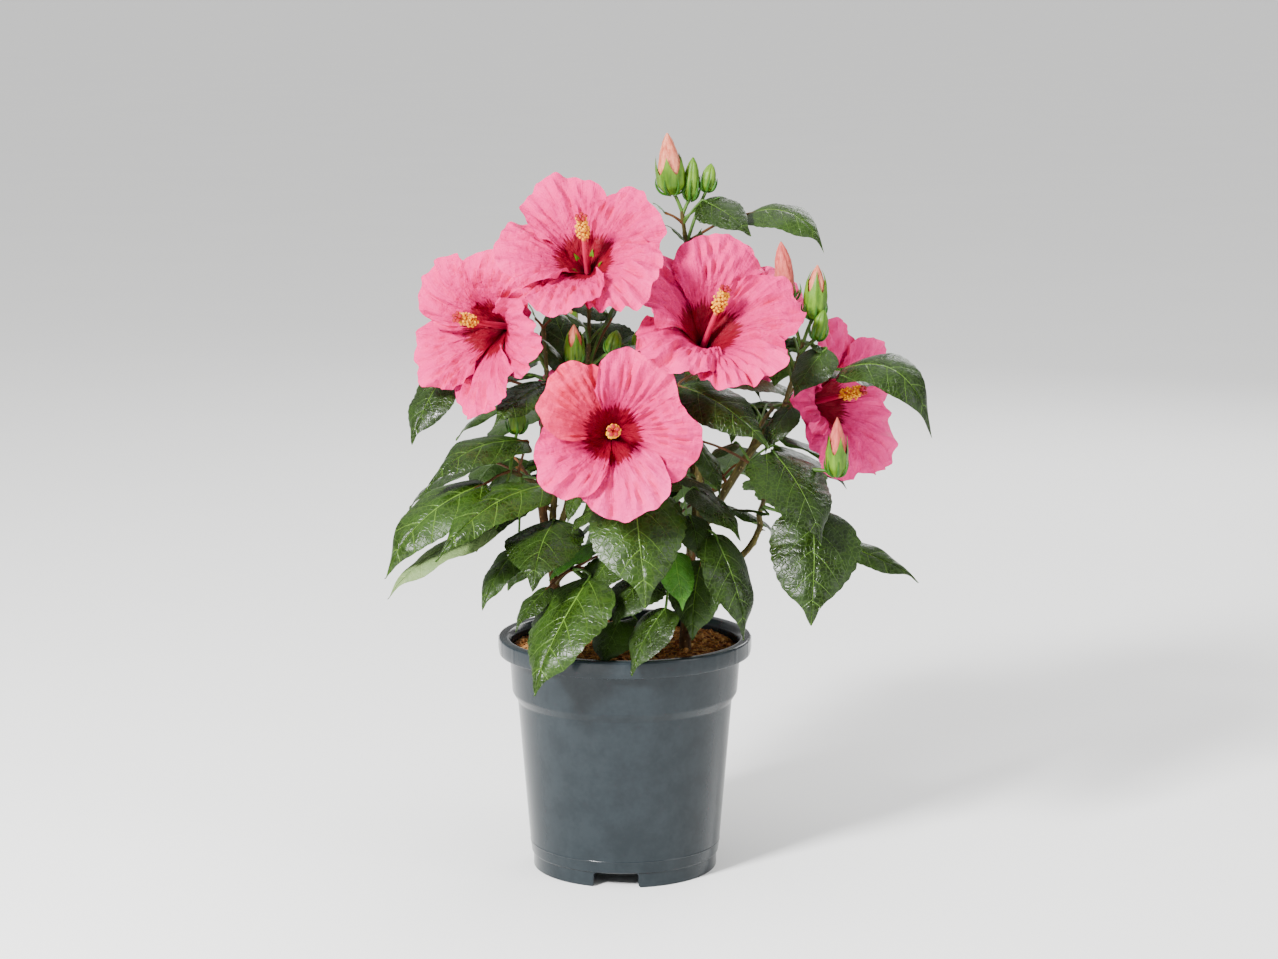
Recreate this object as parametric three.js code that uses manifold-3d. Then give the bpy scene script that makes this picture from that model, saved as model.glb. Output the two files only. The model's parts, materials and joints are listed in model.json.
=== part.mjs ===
// Potted hibiscus shrub: a nursery pot, its growing mix, woody stems and boughs, and masses of
// twigs, leaves, flowers and buds. Millimetres, Z up, the front of the plant towards -Y.
import * as THREE from "three";
import { mergeVertices } from "three/addons/utils/BufferGeometryUtils.js";
import Module from "manifold-3d";

const wasm = await Module();
wasm.setup();

// Pot: a 19 cm container on a ring foot with three drainage notches
const POT_HEIGHT = 176.5;
const RIM_RADIUS = 95;
const RIM_BAND = 13;
const RIM_LIP = 7;
const COLLAR_TOP_RADIUS = 86.6;
const COLLAR_FOOT_RADIUS = 84.5;
const COLLAR_FOOT_Z = 136;
const BODY_TOP_RADIUS = 80.5;
const BODY_TOP_Z = 128;
const BODY_FOOT_RADIUS = 70.8;
const FOOT_RADIUS = 69.2;
const FOOT_HEIGHT = 10.9;
const FOOT_WALL = 2.6;
const WALL = 2;
const FLOOR_THICKNESS = 2.5;
const NOTCH_WIDTH = 33;
const NOTCH_COUNT = 3;
const FRONT_NOTCH_ANGLE = -95.4;
const POT_SEGMENTS = 36;

// Growing mix: coir fibre, gently mounded, to just below the rim
const SOIL_TOP = 171;
const SOIL_EDGE = 169;
const SOIL_FLAT_RADIUS = 62;
const GAP = 0.3;

// Twigs, leaves and flowers
const LEAF_THICKNESS = 0.022;
const LEAF_STATIONS = [0.16, 0.42, 0.74];
const SHOOT_LEAF_STATIONS = [0.27, 0.68];
const STALK_RADIUS = 1.3;
const PETAL_THICKNESS = 1.6;
const PETAL_COUNT = 5;
const FUNNEL_DEPTH = 0.58;
const LOBE = [1.02, 0.985, 0.9, 0.985];
const COLUMN_LENGTH = 54;
const TWIG_RADIUS = 1.9;
const TWIG_TAPER = 0.5;

const COLOURS = {
  pot: 0x4a555b,
  growing_mix: 0x4b3525,
  stem: 0x6b5a43,
  foliage: 0x2f5a1e,
};

const rad = (degrees) => (degrees * Math.PI) / 180;
const vec = (x, y, z) => new THREE.Vector3(x, y, z);
const along = (heading, pitch) =>
  vec(
    Math.cos(rad(pitch)) * Math.cos(rad(heading)),
    Math.cos(rad(pitch)) * Math.sin(rad(heading)),
    Math.sin(rad(pitch)),
  );

// A repeatable sequence of numbers between 0 and 1.
function seeded(seed) {
  let state = seed >>> 0;
  return () => {
    state = (Math.imul(state, 1664525) + 1013904223) >>> 0;
    return state / 4294967296;
  };
}

// A closed solid from corner points and triangles.
function closedSolid(points, faces) {
  const mesh = new wasm.Mesh({
    numProp: 3,
    vertProperties: new Float32Array(points.flatMap((p) => [p.x, p.y, p.z])),
    triVerts: new Uint32Array(faces.flat()),
  });
  return new wasm.Manifold(mesh);
}

// A tapering round limb through the given points, flat at both ends.
function limb(points, radii, sides, flatStart = false) {
  const corners = [];
  const faces = [];
  let side = vec(1, 0, 0);
  points.forEach((p, i) => {
    const before = points[Math.max(i - 1, 0)];
    const after = points[Math.min(i + 1, points.length - 1)];
    const dir = after.clone().sub(before).normalize();
    if (i === 0 && flatStart) dir.set(0, 0, 1);
    if (i === 0 && Math.abs(dir.x) > 0.8) side = vec(0, 1, 0);
    side = side.clone().addScaledVector(dir, -side.dot(dir)).normalize();
    const other = dir.clone().cross(side);
    for (let k = 0; k < sides; k++) {
      const a = (2 * Math.PI * k) / sides;
      corners.push(
        p
          .clone()
          .addScaledVector(side, radii[i] * Math.cos(a))
          .addScaledVector(other, radii[i] * Math.sin(a)),
      );
    }
  });
  const last = (points.length - 1) * sides;
  for (let i = 0; i < points.length - 1; i++) {
    for (let k = 0; k < sides; k++) {
      const a = i * sides + k;
      const b = i * sides + ((k + 1) % sides);
      faces.push([a, b, b + sides], [a, b + sides, a + sides]);
    }
  }
  for (let k = 1; k < sides - 1; k++) {
    faces.push([0, k + 1, k], [last, last + k, last + k + 1]);
  }
  return closedSolid(corners, faces);
}

// A thin blade with a lens section: one entry a station, each with its middle, edges and height.
function blade(base, stations, tip) {
  const corners = [base];
  const faces = [];
  stations.forEach((s) => {
    corners.push(
      s.left,
      s.mid.clone().addScaledVector(s.up, s.thick / 2),
      s.right,
      s.mid.clone().addScaledVector(s.up, -s.thick / 2),
    );
  });
  const end = corners.push(tip) - 1;
  const n = stations.length;
  for (let k = 0; k < 4; k++) {
    const next = (k + 1) % 4;
    faces.push([0, 1 + next, 1 + k]);
    for (let i = 0; i < n - 1; i++) {
      const a = 1 + i * 4 + k;
      const b = 1 + i * 4 + next;
      faces.push([a, b, b + 4], [a, b + 4, a + 4]);
    }
    faces.push([end, end - 4 + k, end - 4 + next]);
  }
  return closedSolid(corners, faces);
}

// Half width of a heart-based, pointed leaf at fraction t of its length.
const leafOutline = (t) => Math.sin(Math.PI * t ** 0.62) ** (0.62 + 0.42 * t);

// A leaf on its stalk: the stalk leaves the twig at `root`, the blade arches over and droops.
function leaf(root, start, spec, places) {
  const [, , , , length, width, heading, pitch, roll = 0, arch = 0.32] = spec;
  const axis = along(heading, pitch);
  const flatUp = vec(0, 0, 1).addScaledVector(axis, -axis.z).normalize();
  const up = flatUp.applyAxisAngle(axis, rad(roll));
  const side = axis.clone().cross(up);
  const midrib = (t) =>
    start
      .clone()
      .addScaledVector(axis, length * t)
      .addScaledVector(up, arch * length * t * (1 - t));
  const stations = places.map((t) => {
    const half = (width / 2) * leafOutline(t);
    const mid = midrib(t);
    const edge = (sign) =>
      mid.clone().addScaledVector(side, sign * half).addScaledVector(up, -0.22 * half);
    const thick = LEAF_THICKNESS * length;
    return { mid, up, thick, left: edge(-1), right: edge(1) };
  });
  const surface = blade(start, stations, midrib(1));
  const bend = root.clone().lerp(start, 0.55);
  bend.z += 0.06 * root.distanceTo(start);
  const line = places === LEAF_STATIONS ? [root, bend, midrib(0.1)] : [root, midrib(0.1)];
  const stalk = limb(line, [STALK_RADIUS, STALK_RADIUS, 1], 3);
  return { surface, whole: surface.add(stalk) };
}

// Petals: one funnel-shaped sheet with five lobes, thick at its foot and sharp at its margin.
function corolla(start, out, radius, roll, depth) {
  const across = vec(0, 0, 1).cross(out).normalize();
  const upward = out.clone().cross(across);
  const place = (turn, t, lift) =>
    start
      .clone()
      .addScaledVector(across, Math.cos(turn) * radius * (0.03 + 0.79 * t ** 1.2))
      .addScaledVector(upward, Math.sin(turn) * radius * (0.03 + 0.79 * t ** 1.2))
      .addScaledVector(out, depth * radius * (1 - Math.max(1 - t, 0) ** 1.8) + lift);
  const corners = [];
  const faces = [];
  const count = PETAL_COUNT * LOBE.length;
  const half = PETAL_THICKNESS / 2;
  for (let j = 0; j < count; j++) {
    const turn = rad(roll + 90 + (360 / count) * j);
    corners.push(place(turn, 0.14, half), place(turn, 0.62, half), place(turn, LOBE[j % 4], 0));
    corners.push(place(turn, 0.62, -half), place(turn, 0.14, -half));
    const a = 5 * j;
    const b = 5 * ((j + 1) % count);
    for (let k = 0; k < 4; k++) {
      faces.push([a + k, a + k + 1, b + k + 1], [a + k, b + k + 1, b + k]);
    }
  }
  for (let j = 1; j < count - 1; j++) {
    faces.push([0, 5 * j, 5 * (j + 1)], [4, 5 * (j + 1) + 4, 5 * j + 4]);
  }
  return closedSolid(corners, faces);
}

// An open flower: its stalk, calyx and petals, and a column with its anthers.
function flower(root, start, spec) {
  const { radius, face, column, roll = 0, depth = FUNNEL_DEPTH } = spec;
  const out = along(...face);
  const lean = along(...column);
  const spine = [0, 0.58, 0.72, 0.9, 1].map((t) =>
    start
      .clone()
      .addScaledVector(out, COLUMN_LENGTH * t * (1 - t) * 0.3)
      .addScaledVector(lean, COLUMN_LENGTH * t),
  );
  const calyx = [-16, -10, 8].map((d) => start.clone().addScaledVector(out, d));
  const bend = root.clone().lerp(calyx[0], 0.5);
  bend.z += 0.08 * root.distanceTo(calyx[0]);
  return wasm.Manifold.union([
    corolla(start, out, radius, roll, depth),
    limb(spine, [3, 2, 6, 6, 3], 5),
    limb(calyx, [2, 6.5, 5], 5),
    limb([root, bend, calyx[1]], [1.8, 1.7, 1.8], 4),
  ]);
}

// A bud on its stalk: a spindle that swells at its calyx and closes to a blunt tip.
function bud(root, start, spec) {
  const { length, radius, face } = spec;
  const out = along(...face);
  const body = [0, 0.16, 0.44, 0.8, 1].map((t) =>
    start.clone().addScaledVector(out, length * t),
  );
  const girth = [0.4, 0.95, 1, 0.72, 0.2].map((share) => radius * share);
  const bend = root.clone().lerp(start, 0.5);
  bend.z += 0.06 * root.distanceTo(start);
  const stalk = limb([root, bend, body[1]], [1.5, 1.4, 1.2], 3);
  return limb(body, girth, 6).add(stalk);
}

// The point and direction at a fraction of a line of points.
function pointAt(points, fraction) {
  const lengths = points.slice(1).map((p, i) => p.distanceTo(points[i]));
  let left = fraction * lengths.reduce((a, b) => a + b, 0);
  for (let i = 0; i < lengths.length; i++) {
    if (left <= lengths[i] || i === lengths.length - 1) {
      return points[i].clone().lerp(points[i + 1], Math.min(left / lengths[i], 1));
    }
    left -= lengths[i];
  }
  return points[0].clone();
}

// Stems and boughs: their points from foot to tip and the radius at foot, middle and tip
const LIMBS = {
  stem_left: {
    points: [[-44, 8, SOIL_TOP + GAP], [-48, 7, 190], [-54, 6, 223], [-63, 14, 284], [-59, 9, 345]],
    radii: [4.8, 3.7, 3],
    flat: true,
  },
  stem_right: {
    points: [[45, -26, SOIL_TOP + GAP], [46, -17, 190], [50, 5, 240], [57, 14, 262]],
    radii: [4.8, 4.1, 3.7],
    flat: true,
  },
  bough_top: {
    points: [[58, 15, 263], [56, 17, 300], [51, 15, 343], [47, 10, 372], [48, 4, 430]],
    radii: [3.3, 3, 2.5],
    on: "stem_right",
  },
  bough_right: {
    points: [[62, 8, 242], [90, 0, 310], [107, -20, 336], [116, -34, 352]],
    radii: [3.2, 2.9, 2.4],
    on: "stem_right",
  },
  bough_low_right: {
    points: [[53, -10, 208], [87, 0, 236], [100, 0, 256], [100, -2, 268]],
    radii: [2.6, 2.4, 2.1],
    on: "stem_right",
  },
  bough_middle: {
    points: [[-50, 9, 240], [-43, 10, 273], [-37, 11, 310], [-30, 10, 352]],
    radii: [2.8, 2.5, 2.2],
    on: "stem_left",
  },
  bough_back_left: {
    points: [[-54, 13, 236], [-54, 48, 270], [-48, 74, 310]],
    radii: [2.9, 2.6, 2.2],
    on: "stem_left",
  },
  bough_back_right: {
    points: [[50, 6, 230], [54, 60, 270], [48, 84, 318]],
    radii: [3.1, 2.8, 2.3],
    on: "stem_right",
  },
};

// Masses of foliage. `twig` is the mass's own stem. Each leaf is: place on the twig, stalk length,
// heading and pitch, then blade length, width, heading, pitch and, where it is turned, its roll.
// A heading of -90 comes towards the viewer and 0 goes to the right.
const MASSES = {
  foliage_top: {
    on: "bough_top",
    twig: [[48, 4, 431], [46, 2, 462], [42, 0, 494]],
    leaves: [
      [0.86, 15, -176, 30, 12, 9, 180, 40],
      [0.4, 15, -44, 51, 15, 11, -35, 75],
      [0.5, 13, -99, 50, 20, 15, -171, 40],
      [0.86, 22, -4, 50, 50, 34, -38, -27, 30],
      [0.9, 20, 0, 33, 14, 8, 0, 27],
      [0.63, 51, 15, 23, 66, 46, -23, -22, 20, 1.05],
    ],
    buds: [
      { at: 1, stalk: [14, -175, 60], face: [-120, 80], length: 46, radius: 9.8 },
      { at: 0.95, stalk: [12, -2, 62], face: [0, 86], length: 32, radius: 5.8 },
      { at: 0.6, stalk: [42, 9, 69], face: [10, 80], length: 21, radius: 5.6 },
    ],
  },
  foliage_top_flower: {
    on: "bough_middle",
    twig: [[-30, 10, 353], [-27, 4, 390], [-26, -6, 426]],
    leaves: [
      [0.6, 18, -100, 45, 36, 22, -156, 30],
      [0.6, 17, -8, 46, 24, 17, -11, 60],
      [0.05, 44, 22, 25, 52, 42, 171, 42, -60],
      [0.3, 44, 14, 68, 44, 26, -174, 19, -30],
      [0.1, 42, 15, 51, 32, 22, 7, 6, 30],
      [0.3, 43, 32, 60, 26, 22, 49, 56, -40],
      [0.02, 31, 112, 34, 56, 40, 151, 67, -30],
      [0.04, 60, 68, 58, 58, 42, -164, -75, -20],
    ],
    shoot: { seed: 9, count: 2, turn: 100, from: 0.3, sweep: 80, size: 0.7 },
    flowers: [
      {
        at: 1,
        stalk: [54, -90, 31],
        face: [-98, 43],
        column: [-97, 51],
        radius: 78,
        roll: 22,
        depth: 0.44,
      },
    ],
    buds: [
      { at: 0.25, stalk: [30, -108, 24], face: [-90, 82], length: 30, radius: 6.8 },
      { at: 0.3, stalk: [28, -40, 32], face: [-10, 76], length: 18, radius: 6 },
    ],
  },
  foliage_left_flower: {
    on: "stem_left",
    twig: [[-59, 8, 346.5], [-58, 4, 374], [-60, -2, 408]],
    leaves: [
      [0.22, 77, 178, 10, 60, 38, -132, -55, -10],
      [0.18, 74, 174, 1, 46, 18, -146, -46],
      [0.3, 21, -84, 14, 65, 34, -132, -24, -20],
      [1, 9, -160, 50, 15, 9, -175, 62],
      [1, 8, 0, 50, 15, 8, 0, 72],
    ],
    shoot: { seed: 13, count: 4, turn: 80, from: 0.4, sweep: 80, size: 0.7 },
    flowers: [
      { at: 0.5, stalk: [44, -163, 48], face: [-126, 1], column: [-130, 12], radius: 75, roll: -24 },
    ],
  },
  foliage_centre_flower: {
    on: "bough_top",
    twig: [[49, 3, 366], [53, -16, 374], [54, -32, 380]],
    leaves: [
      [0.9, 36, -168, 30, 46, 26, -138, 0],
      [0.8, 29, -120, -10, 86, 44, -30, -27, 30],
    ],
    shoot: { seed: 7, count: 4, turn: 60, from: 0, sweep: 90, size: 0.7 },
    flowers: [
      { at: 1, stalk: [27, -84, 42], face: [-74, 45], column: [-57, 58], radius: 82, roll: -18 },
    ],
    buds: [{ at: 0.45, stalk: [46, -172, 26], face: [-90, 86], length: 16, radius: 6.4 }],
  },
  foliage_right_buds: {
    on: "bough_right",
    twig: [[116, -35, 353.5], [124, -36, 380], [130, -38, 402]],
    leaves: [
      [0.75, 30, -48, 20, 45, 36, -144, -48, -15],
      [0.45, 43, -38, 13, 84, 42, -25, -32, 30, 1.6],
      [0.85, 17, -60, 26, 24, 14, -34, -30],
      [0.05, 17, -77, 3, 42, 28, -133, -47],
    ],
    shoot: { seed: 17, count: 4, turn: 85, from: 0.2, sweep: 70, size: 0.74 },
    buds: [
      { at: 0.9, stalk: [35, 145, 68], face: [-160, 84], length: 45, radius: 9.4 },
      { at: 1, stalk: [18, 0, 65], face: [-40, 86], length: 40, radius: 8 },
      { at: 0.8, stalk: [19, -36, 39], face: [-30, 76], length: 23, radius: 5.8 },
    ],
  },
  foliage_right_flower: {
    on: "bough_right",
    twig: [[92, 6, 313], [103, 30, 332], [112, 44, 342]],
    shoot: { seed: 19, count: 6, turn: 70, from: 0.1, sweep: 100, size: 0.86 },
    flowers: [
      { at: 1, stalk: [23, 3, 6], face: [-38, 10], column: [-36, 16], radius: 76, roll: 4 },
    ],
  },
  foliage_right: {
    on: "bough_low_right",
    twig: [[100, -3, 269.5], [106, -20, 292], [110, -44, 304]],
    leaves: [
      [1, 31, -99, 47, 82, 72, -49, -49],
      [0.8, 40, -42, -23, 88, 68, -90, -64],
      [0.15, 67, 25, -27, 73, 22, -8, -25, 40],
      [0.1, 16, -72, -7, 32, 14, -162, 7],
      [0.4, 44, -172, 60, 33, 20, -152, -26],
      [0.9, 68, -172, 27, 49, 28, -40, -55],
    ],
    shoot: { seed: 29, count: 4, turn: 85, from: 0.05, sweep: 50, size: 0.8 },
    buds: [{ at: 1, stalk: [48, -25, 4], face: [-90, 84], length: 44, radius: 7.4 }],
  },
  foliage_front_flower: {
    on: "bough_middle",
    twig: [[-41, 4, 276], [-34, -20, 304], [-17, -46, 328]],
    leaves: [
      [0.6, 30, -99, -28, 28, 13, -112, -51],
      [0.6, 42, -75, -42, 28, 16, -133, -31],
      [0.85, 66, 140, 66, 30, 18, 180, 48],
    ],
    flowers: [
      { at: 1, stalk: [32, -73, 20], face: [-90, 10], column: [-89, 12], radius: 76, roll: -24 },
    ],
  },
  foliage_left: {
    on: "stem_left",
    twig: [[-66, 6, 286], [-74, -12, 298], [-84, -34, 306]],
    leaves: [
      [0.75, 27, -28, 70, 88, 46, -153, -19, -15, 0.6],
      [1, 21, -142, -17, 104, 52, -156, -38, -22, 0.6],
      [0.6, 33, -55, -3, 109, 44, -143, -24, -18, 0.45],
      [1, 43, -120, -64, 97, 34, -157, -27, -12],
      [0.6, 52, -101, -75, 58, 30, -129, -45],
    ],
    shoot: { seed: 31, count: 4, turn: 112, from: 0.05, sweep: 60, size: 0.86 },
    buds: [{ at: 1, stalk: [30, 71, 60], face: [-90, 86], length: 21, radius: 7 }],
  },
  foliage_low_left: {
    on: "stem_left",
    twig: [[-50, -1, 213], [-46, -18, 226], [-38, -38, 234]],
    leaves: [
      [0.9, 44, -129, 66, 76, 58, -104, -30],
      [1, 27, -131, -20, 46, 24, -131, -36],
      [1, 35, -68, 2, 100, 68, -129, -51],
      [1, 39, -27, 24, 44, 42, -130, -43],
      [0.7, 34, -22, 46, 46, 34, -158, -34],
      [1, 62, -23, 2, 50, 54, -137, -41],
      [1, 59, -15, -36, 27, 24, -161, -23],
      [1, 53, -33, -40, 37, 40, -120, -51],
    ],
    shoot: { seed: 43, count: 3, turn: 105, from: 0.05, sweep: 40, size: 0.62 },
  },
  foliage_low_right: {
    on: "stem_right",
    twig: [[47, -8, 240], [44, -24, 256], [36, -50, 268]],
    leaves: [
      [1, 48, -148, 45, 96, 72, -82, -56],
      [1, 63, -100, -57, 57, 42, -138, -53],
      [1, 24, -90, -38, 46, 28, -76, -58],
      [0.85, 21, -57, 39, 36, 28, -71, -54],
      [1, 35, -34, 61, 54, 42, -33, -40],
      [0.5, 29, -62, -26, 61, 46, -109, -68],
      [1, 31, -22, -5, 82, 46, -48, -65],
      [0.1, 60, -108, 74, 34, 22, -35, -22],
    ],
  },
  foliage_back_left: {
    on: "bough_back_left",
    twig: [[-48, 75, 311.5], [-46, 88, 344], [-44, 90, 380]],
    shoot: { seed: 11, count: 9, turn: 80, from: 0.08, sweep: 180, size: 0.96 },
    buds: [{ at: 1, stalk: [14, 90, 60], face: [90, 80], length: 34, radius: 7 }],
  },
  foliage_back_flower: {
    on: "bough_back_left",
    twig: [[-49, 51, 274], [-34, 66, 286], [-18, 78, 298]],
    shoot: { seed: 23, count: 6, turn: 130, from: 0.2, sweep: 200, size: 0.84 },
    flowers: [
      { at: 1, stalk: [31, 73, 26], face: [96, 14], column: [96, 22], radius: 74, roll: 5 },
    ],
  },
  foliage_back_side_left: {
    on: "bough_back_left",
    twig: [[-59, 42, 262], [-74, 62, 270], [-86, 80, 278]],
    shoot: { seed: 61, count: 9, turn: 125, from: 0.1, sweep: 170, size: 0.84, droop: 4 },
  },
  foliage_back_right: {
    on: "bough_back_right",
    twig: [[48, 85, 319.5], [46, 94, 350], [42, 96, 384]],
    shoot: { seed: 37, count: 8, turn: 60, from: 0.05, sweep: 360, size: 0.94 },
    flowers: [
      { at: 0.85, stalk: [34, 10, 34], face: [76, 12], column: [76, 20], radius: 74, roll: -4 },
    ],
    buds: [{ at: 1, stalk: [16, 120, 60], face: [80, 80], length: 30, radius: 6.4 }],
  },
  foliage_back_side_right: {
    on: "bough_back_right",
    twig: [[59, 58, 266], [80, 68, 282], [98, 72, 300]],
    shoot: { seed: 41, count: 10, turn: 40, from: 0.1, sweep: 360, size: 0.94 },
  },
  foliage_back_low: {
    on: "bough_back_right",
    twig: [[46, 32, 250], [28, 54, 250], [4, 68, 256]],
    shoot: { seed: 53, count: 9, turn: 90, from: 0.15, sweep: 300, size: 0.9 },
  },
};

// Leaves round a shoot by a seeded rule. Full shoots set them two fifths of a turn apart; a shoot
// with a smaller sweep fans them about its own heading. They get smaller towards the tip.
function shootLeaves({ seed, count, turn, from, sweep, size, droop = 20 }) {
  const random = seeded(seed);
  const leaves = [];
  for (let i = 0; i < count; i++) {
    const place = from + ((0.98 - from) * i) / count;
    const step = (((i * 144) % 360) / 360 - 0.4) * sweep;
    const heading = turn + step + 24 * (random() - 0.5);
    const length = size * (96 - 30 * place) * (0.82 + 0.28 * random());
    const width = length * (0.6 + 0.12 * random());
    const pitch = -droop - 28 * random();
    const lift = 18 + 22 * random();
    leaves.push([place, 0.42 * length, heading, lift, length, width, heading, pitch]);
  }
  return leaves;
}

// Ways a seeded leaf is turned, in degrees of heading and pitch, until one stands clear
const TURNS = [
  [0, 0],
  [16, 0],
  [-16, 0],
  [0, 18],
  [0, -18],
  [30, 10],
  [-30, 10],
  [44, -8],
  [-44, -8],
];

// Pot: one turned section with the notches cut through its ring foot.
function potSolid() {
  const floor = FOOT_HEIGHT + 0.6;
  const rimFoot = POT_HEIGHT - RIM_BAND;
  const innerRim = RIM_RADIUS - RIM_LIP;
  const section = [
    [0, floor],
    [FOOT_RADIUS - FOOT_WALL, floor],
    [FOOT_RADIUS - FOOT_WALL, 0],
    [FOOT_RADIUS, 0],
    [FOOT_RADIUS, FOOT_HEIGHT],
    [BODY_FOOT_RADIUS - 0.6, FOOT_HEIGHT + 0.6],
    [BODY_TOP_RADIUS, BODY_TOP_Z],
    [COLLAR_FOOT_RADIUS, COLLAR_FOOT_Z],
    [COLLAR_TOP_RADIUS, rimFoot],
    [RIM_RADIUS - 1, rimFoot],
    [RIM_RADIUS, rimFoot + 1.5],
    [RIM_RADIUS, POT_HEIGHT - 1.5],
    [RIM_RADIUS - 1.2, POT_HEIGHT],
    [innerRim, POT_HEIGHT],
    [COLLAR_TOP_RADIUS - WALL, POT_HEIGHT - 4],
    [COLLAR_TOP_RADIUS - WALL, rimFoot],
    [COLLAR_FOOT_RADIUS - WALL, COLLAR_FOOT_Z],
    [BODY_TOP_RADIUS - WALL, BODY_TOP_Z],
    [BODY_FOOT_RADIUS - WALL, floor + FLOOR_THICKNESS],
    [0, floor + FLOOR_THICKNESS],
  ];
  let solid = turned(section);
  for (let i = 0; i < NOTCH_COUNT; i++) {
    const notch = wasm.Manifold.cube([20, NOTCH_WIDTH, 2 * FOOT_HEIGHT], true)
      .translate([FOOT_RADIUS, 0, 0])
      .rotate([0, 0, FRONT_NOTCH_ANGLE + (360 / NOTCH_COUNT) * i]);
    solid = solid.subtract(notch);
  }
  return solid;
}

// A solid of revolution about Z from a section listed from the axis round to the axis again.
function turned(section) {
  const outline = section.map(([r, z]) => new THREE.Vector2(r, z));
  const geometry = new THREE.LatheGeometry(outline, POT_SEGMENTS);
  geometry.rotateX(Math.PI / 2);
  return solidOf(geometry);
}

// Growing mix: the pot's inside, clear of its wall, with a gently mounded top.
function soilSolid() {
  const floor = FOOT_HEIGHT + 0.6 + FLOOR_THICKNESS + GAP;
  const clear = WALL + GAP;
  return turned([
    [0, floor],
    [BODY_FOOT_RADIUS - clear - 0.1, floor],
    [BODY_TOP_RADIUS - clear - 0.1, BODY_TOP_Z],
    [COLLAR_FOOT_RADIUS - clear - 0.1, COLLAR_FOOT_Z],
    [COLLAR_TOP_RADIUS - clear - 0.1, POT_HEIGHT - RIM_BAND],
    [COLLAR_TOP_RADIUS - clear - 0.1, SOIL_EDGE],
    [SOIL_FLAT_RADIUS + 10, SOIL_TOP - 1],
    [SOIL_FLAT_RADIUS, SOIL_TOP],
    [0, SOIL_TOP],
  ]);
}

// A three.js geometry as a solid.
function solidOf(geometry) {
  const bare = geometry.clone();
  bare.deleteAttribute("normal");
  bare.deleteAttribute("uv");
  const merged = mergeVertices(bare, 1e-4);
  const index = [];
  const source = merged.index.array;
  for (let i = 0; i < source.length; i += 3) {
    const [a, b, c] = [source[i], source[i + 1], source[i + 2]];
    if (a !== b && b !== c && c !== a) index.push(a, b, c);
  }
  const mesh = new wasm.Mesh({
    numProp: 3,
    vertProperties: merged.attributes.position.array,
    triVerts: new Uint32Array(index),
  });
  return new wasm.Manifold(mesh);
}

// The largest connected body of a solid, with any hollow that fusing sealed filled in.
function oneBody(solid) {
  const bodies = solid.simplify(0.05).decompose();
  return bodies.reduce((a, b) => (a.volume() > b.volume() ? a : b));
}

// True when a solid touches none of the others.
function isClear(solid, others) {
  return others.every((other) => solid.minGap(other, 1) > GAP * 0.8);
}

const placed = {};
const axes = {};
const group = new THREE.Group();
group.name = "potted_hibiscus";

// Adds a solid to the plant as a named mesh.
function addNode(name, solid, colour) {
  const { vertProperties, triVerts } = solid.getMesh();
  const geometry = new THREE.BufferGeometry();
  geometry.setAttribute("position", new THREE.Float32BufferAttribute(vertProperties, 3));
  geometry.setIndex(Array.from(triVerts));
  const material = new THREE.MeshStandardMaterial({ color: colour, roughness: 0.6 });
  material.name = `${name}_finish`;
  const mesh = new THREE.Mesh(geometry, material);
  mesh.name = name;
  placed[name] = solid;
  group.add(mesh);
  return mesh;
}

// The point of a line of points that lies nearest to p.
function nearestOn(points, p) {
  const spots = points
    .slice(1)
    .map((b, i) => new THREE.Line3(points[i], b).closestPointToPoint(p, true, vec(0, 0, 0)));
  return spots.reduce((a, b) => (a.distanceTo(p) < b.distanceTo(p) ? a : b));
}

// A limb that starts inside what it grows from, moved out along itself until it is just clear.
function startClear(points, radii, sides, host) {
  const moved = points.map((p) => p.clone());
  moved[0] = nearestOn(axes[host], points[0]);
  const step = moved[1].clone().sub(moved[0]).normalize().multiplyScalar(0.1);
  for (let i = 0; i < 160; i++) {
    const solid = limb(moved, radii, sides);
    if (solid.minGap(placed[host], 1) >= GAP) return { points: moved, solid };
    moved[0].add(step);
  }
  throw new Error("a limb can't be brought clear of the one it grows from");
}

addNode("pot", potSolid(), COLOURS.pot);
addNode("growing_mix", soilSolid(), COLOURS.growing_mix);

for (const [name, spec] of Object.entries(LIMBS)) {
  const points = spec.points.map((p) => vec(...p));
  const [first, middle, last] = spec.radii;
  const radii = points.map((_, i) => {
    const t = i / (points.length - 1);
    return t < 0.5 ? first + (middle - first) * 2 * t : middle + (last - middle) * (2 * t - 1);
  });
  const solid = spec.flat
    ? limb(points, radii, 8, true)
    : startClear(points, radii, 8, spec.on).solid;
  axes[name] = points;
  addNode(name, solid, COLOURS.stem);
}

// The end of a stalk that leaves the twig at a fraction of its length, with its root.
function stalkEnds(points, at, [length, heading, pitch]) {
  const root = pointAt(points, at);
  return [root, root.clone().addScaledVector(along(heading, pitch), length)];
}

// Twigs, flowers and buds come first, and the leaves fill the room that they leave
const masses = Object.entries(MASSES).map(([name, spec]) => {
  const line = spec.twig.map((p) => vec(...p));
  const radii = line.map((_, i) => TWIG_RADIUS - (TWIG_TAPER * i) / (line.length - 1));
  const { points, solid } = startClear(line, radii, 4, spec.on);
  return { name, spec, points, parts: [solid] };
});

// Adds a solid to a mass when it stands clear of every limb and every other mass. Where a
// surface is named as well, that also keeps clear of what the mass already holds.
function addClear(mass, solid, surface) {
  if (surface && !isClear(surface, mass.parts.slice(1))) return false;
  const others = masses.filter((m) => m !== mass).flatMap((m) => m.parts);
  const clear = isClear(solid, [...Object.values(placed), ...others]);
  if (clear) mass.parts.push(solid);
  return clear;
}

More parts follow.
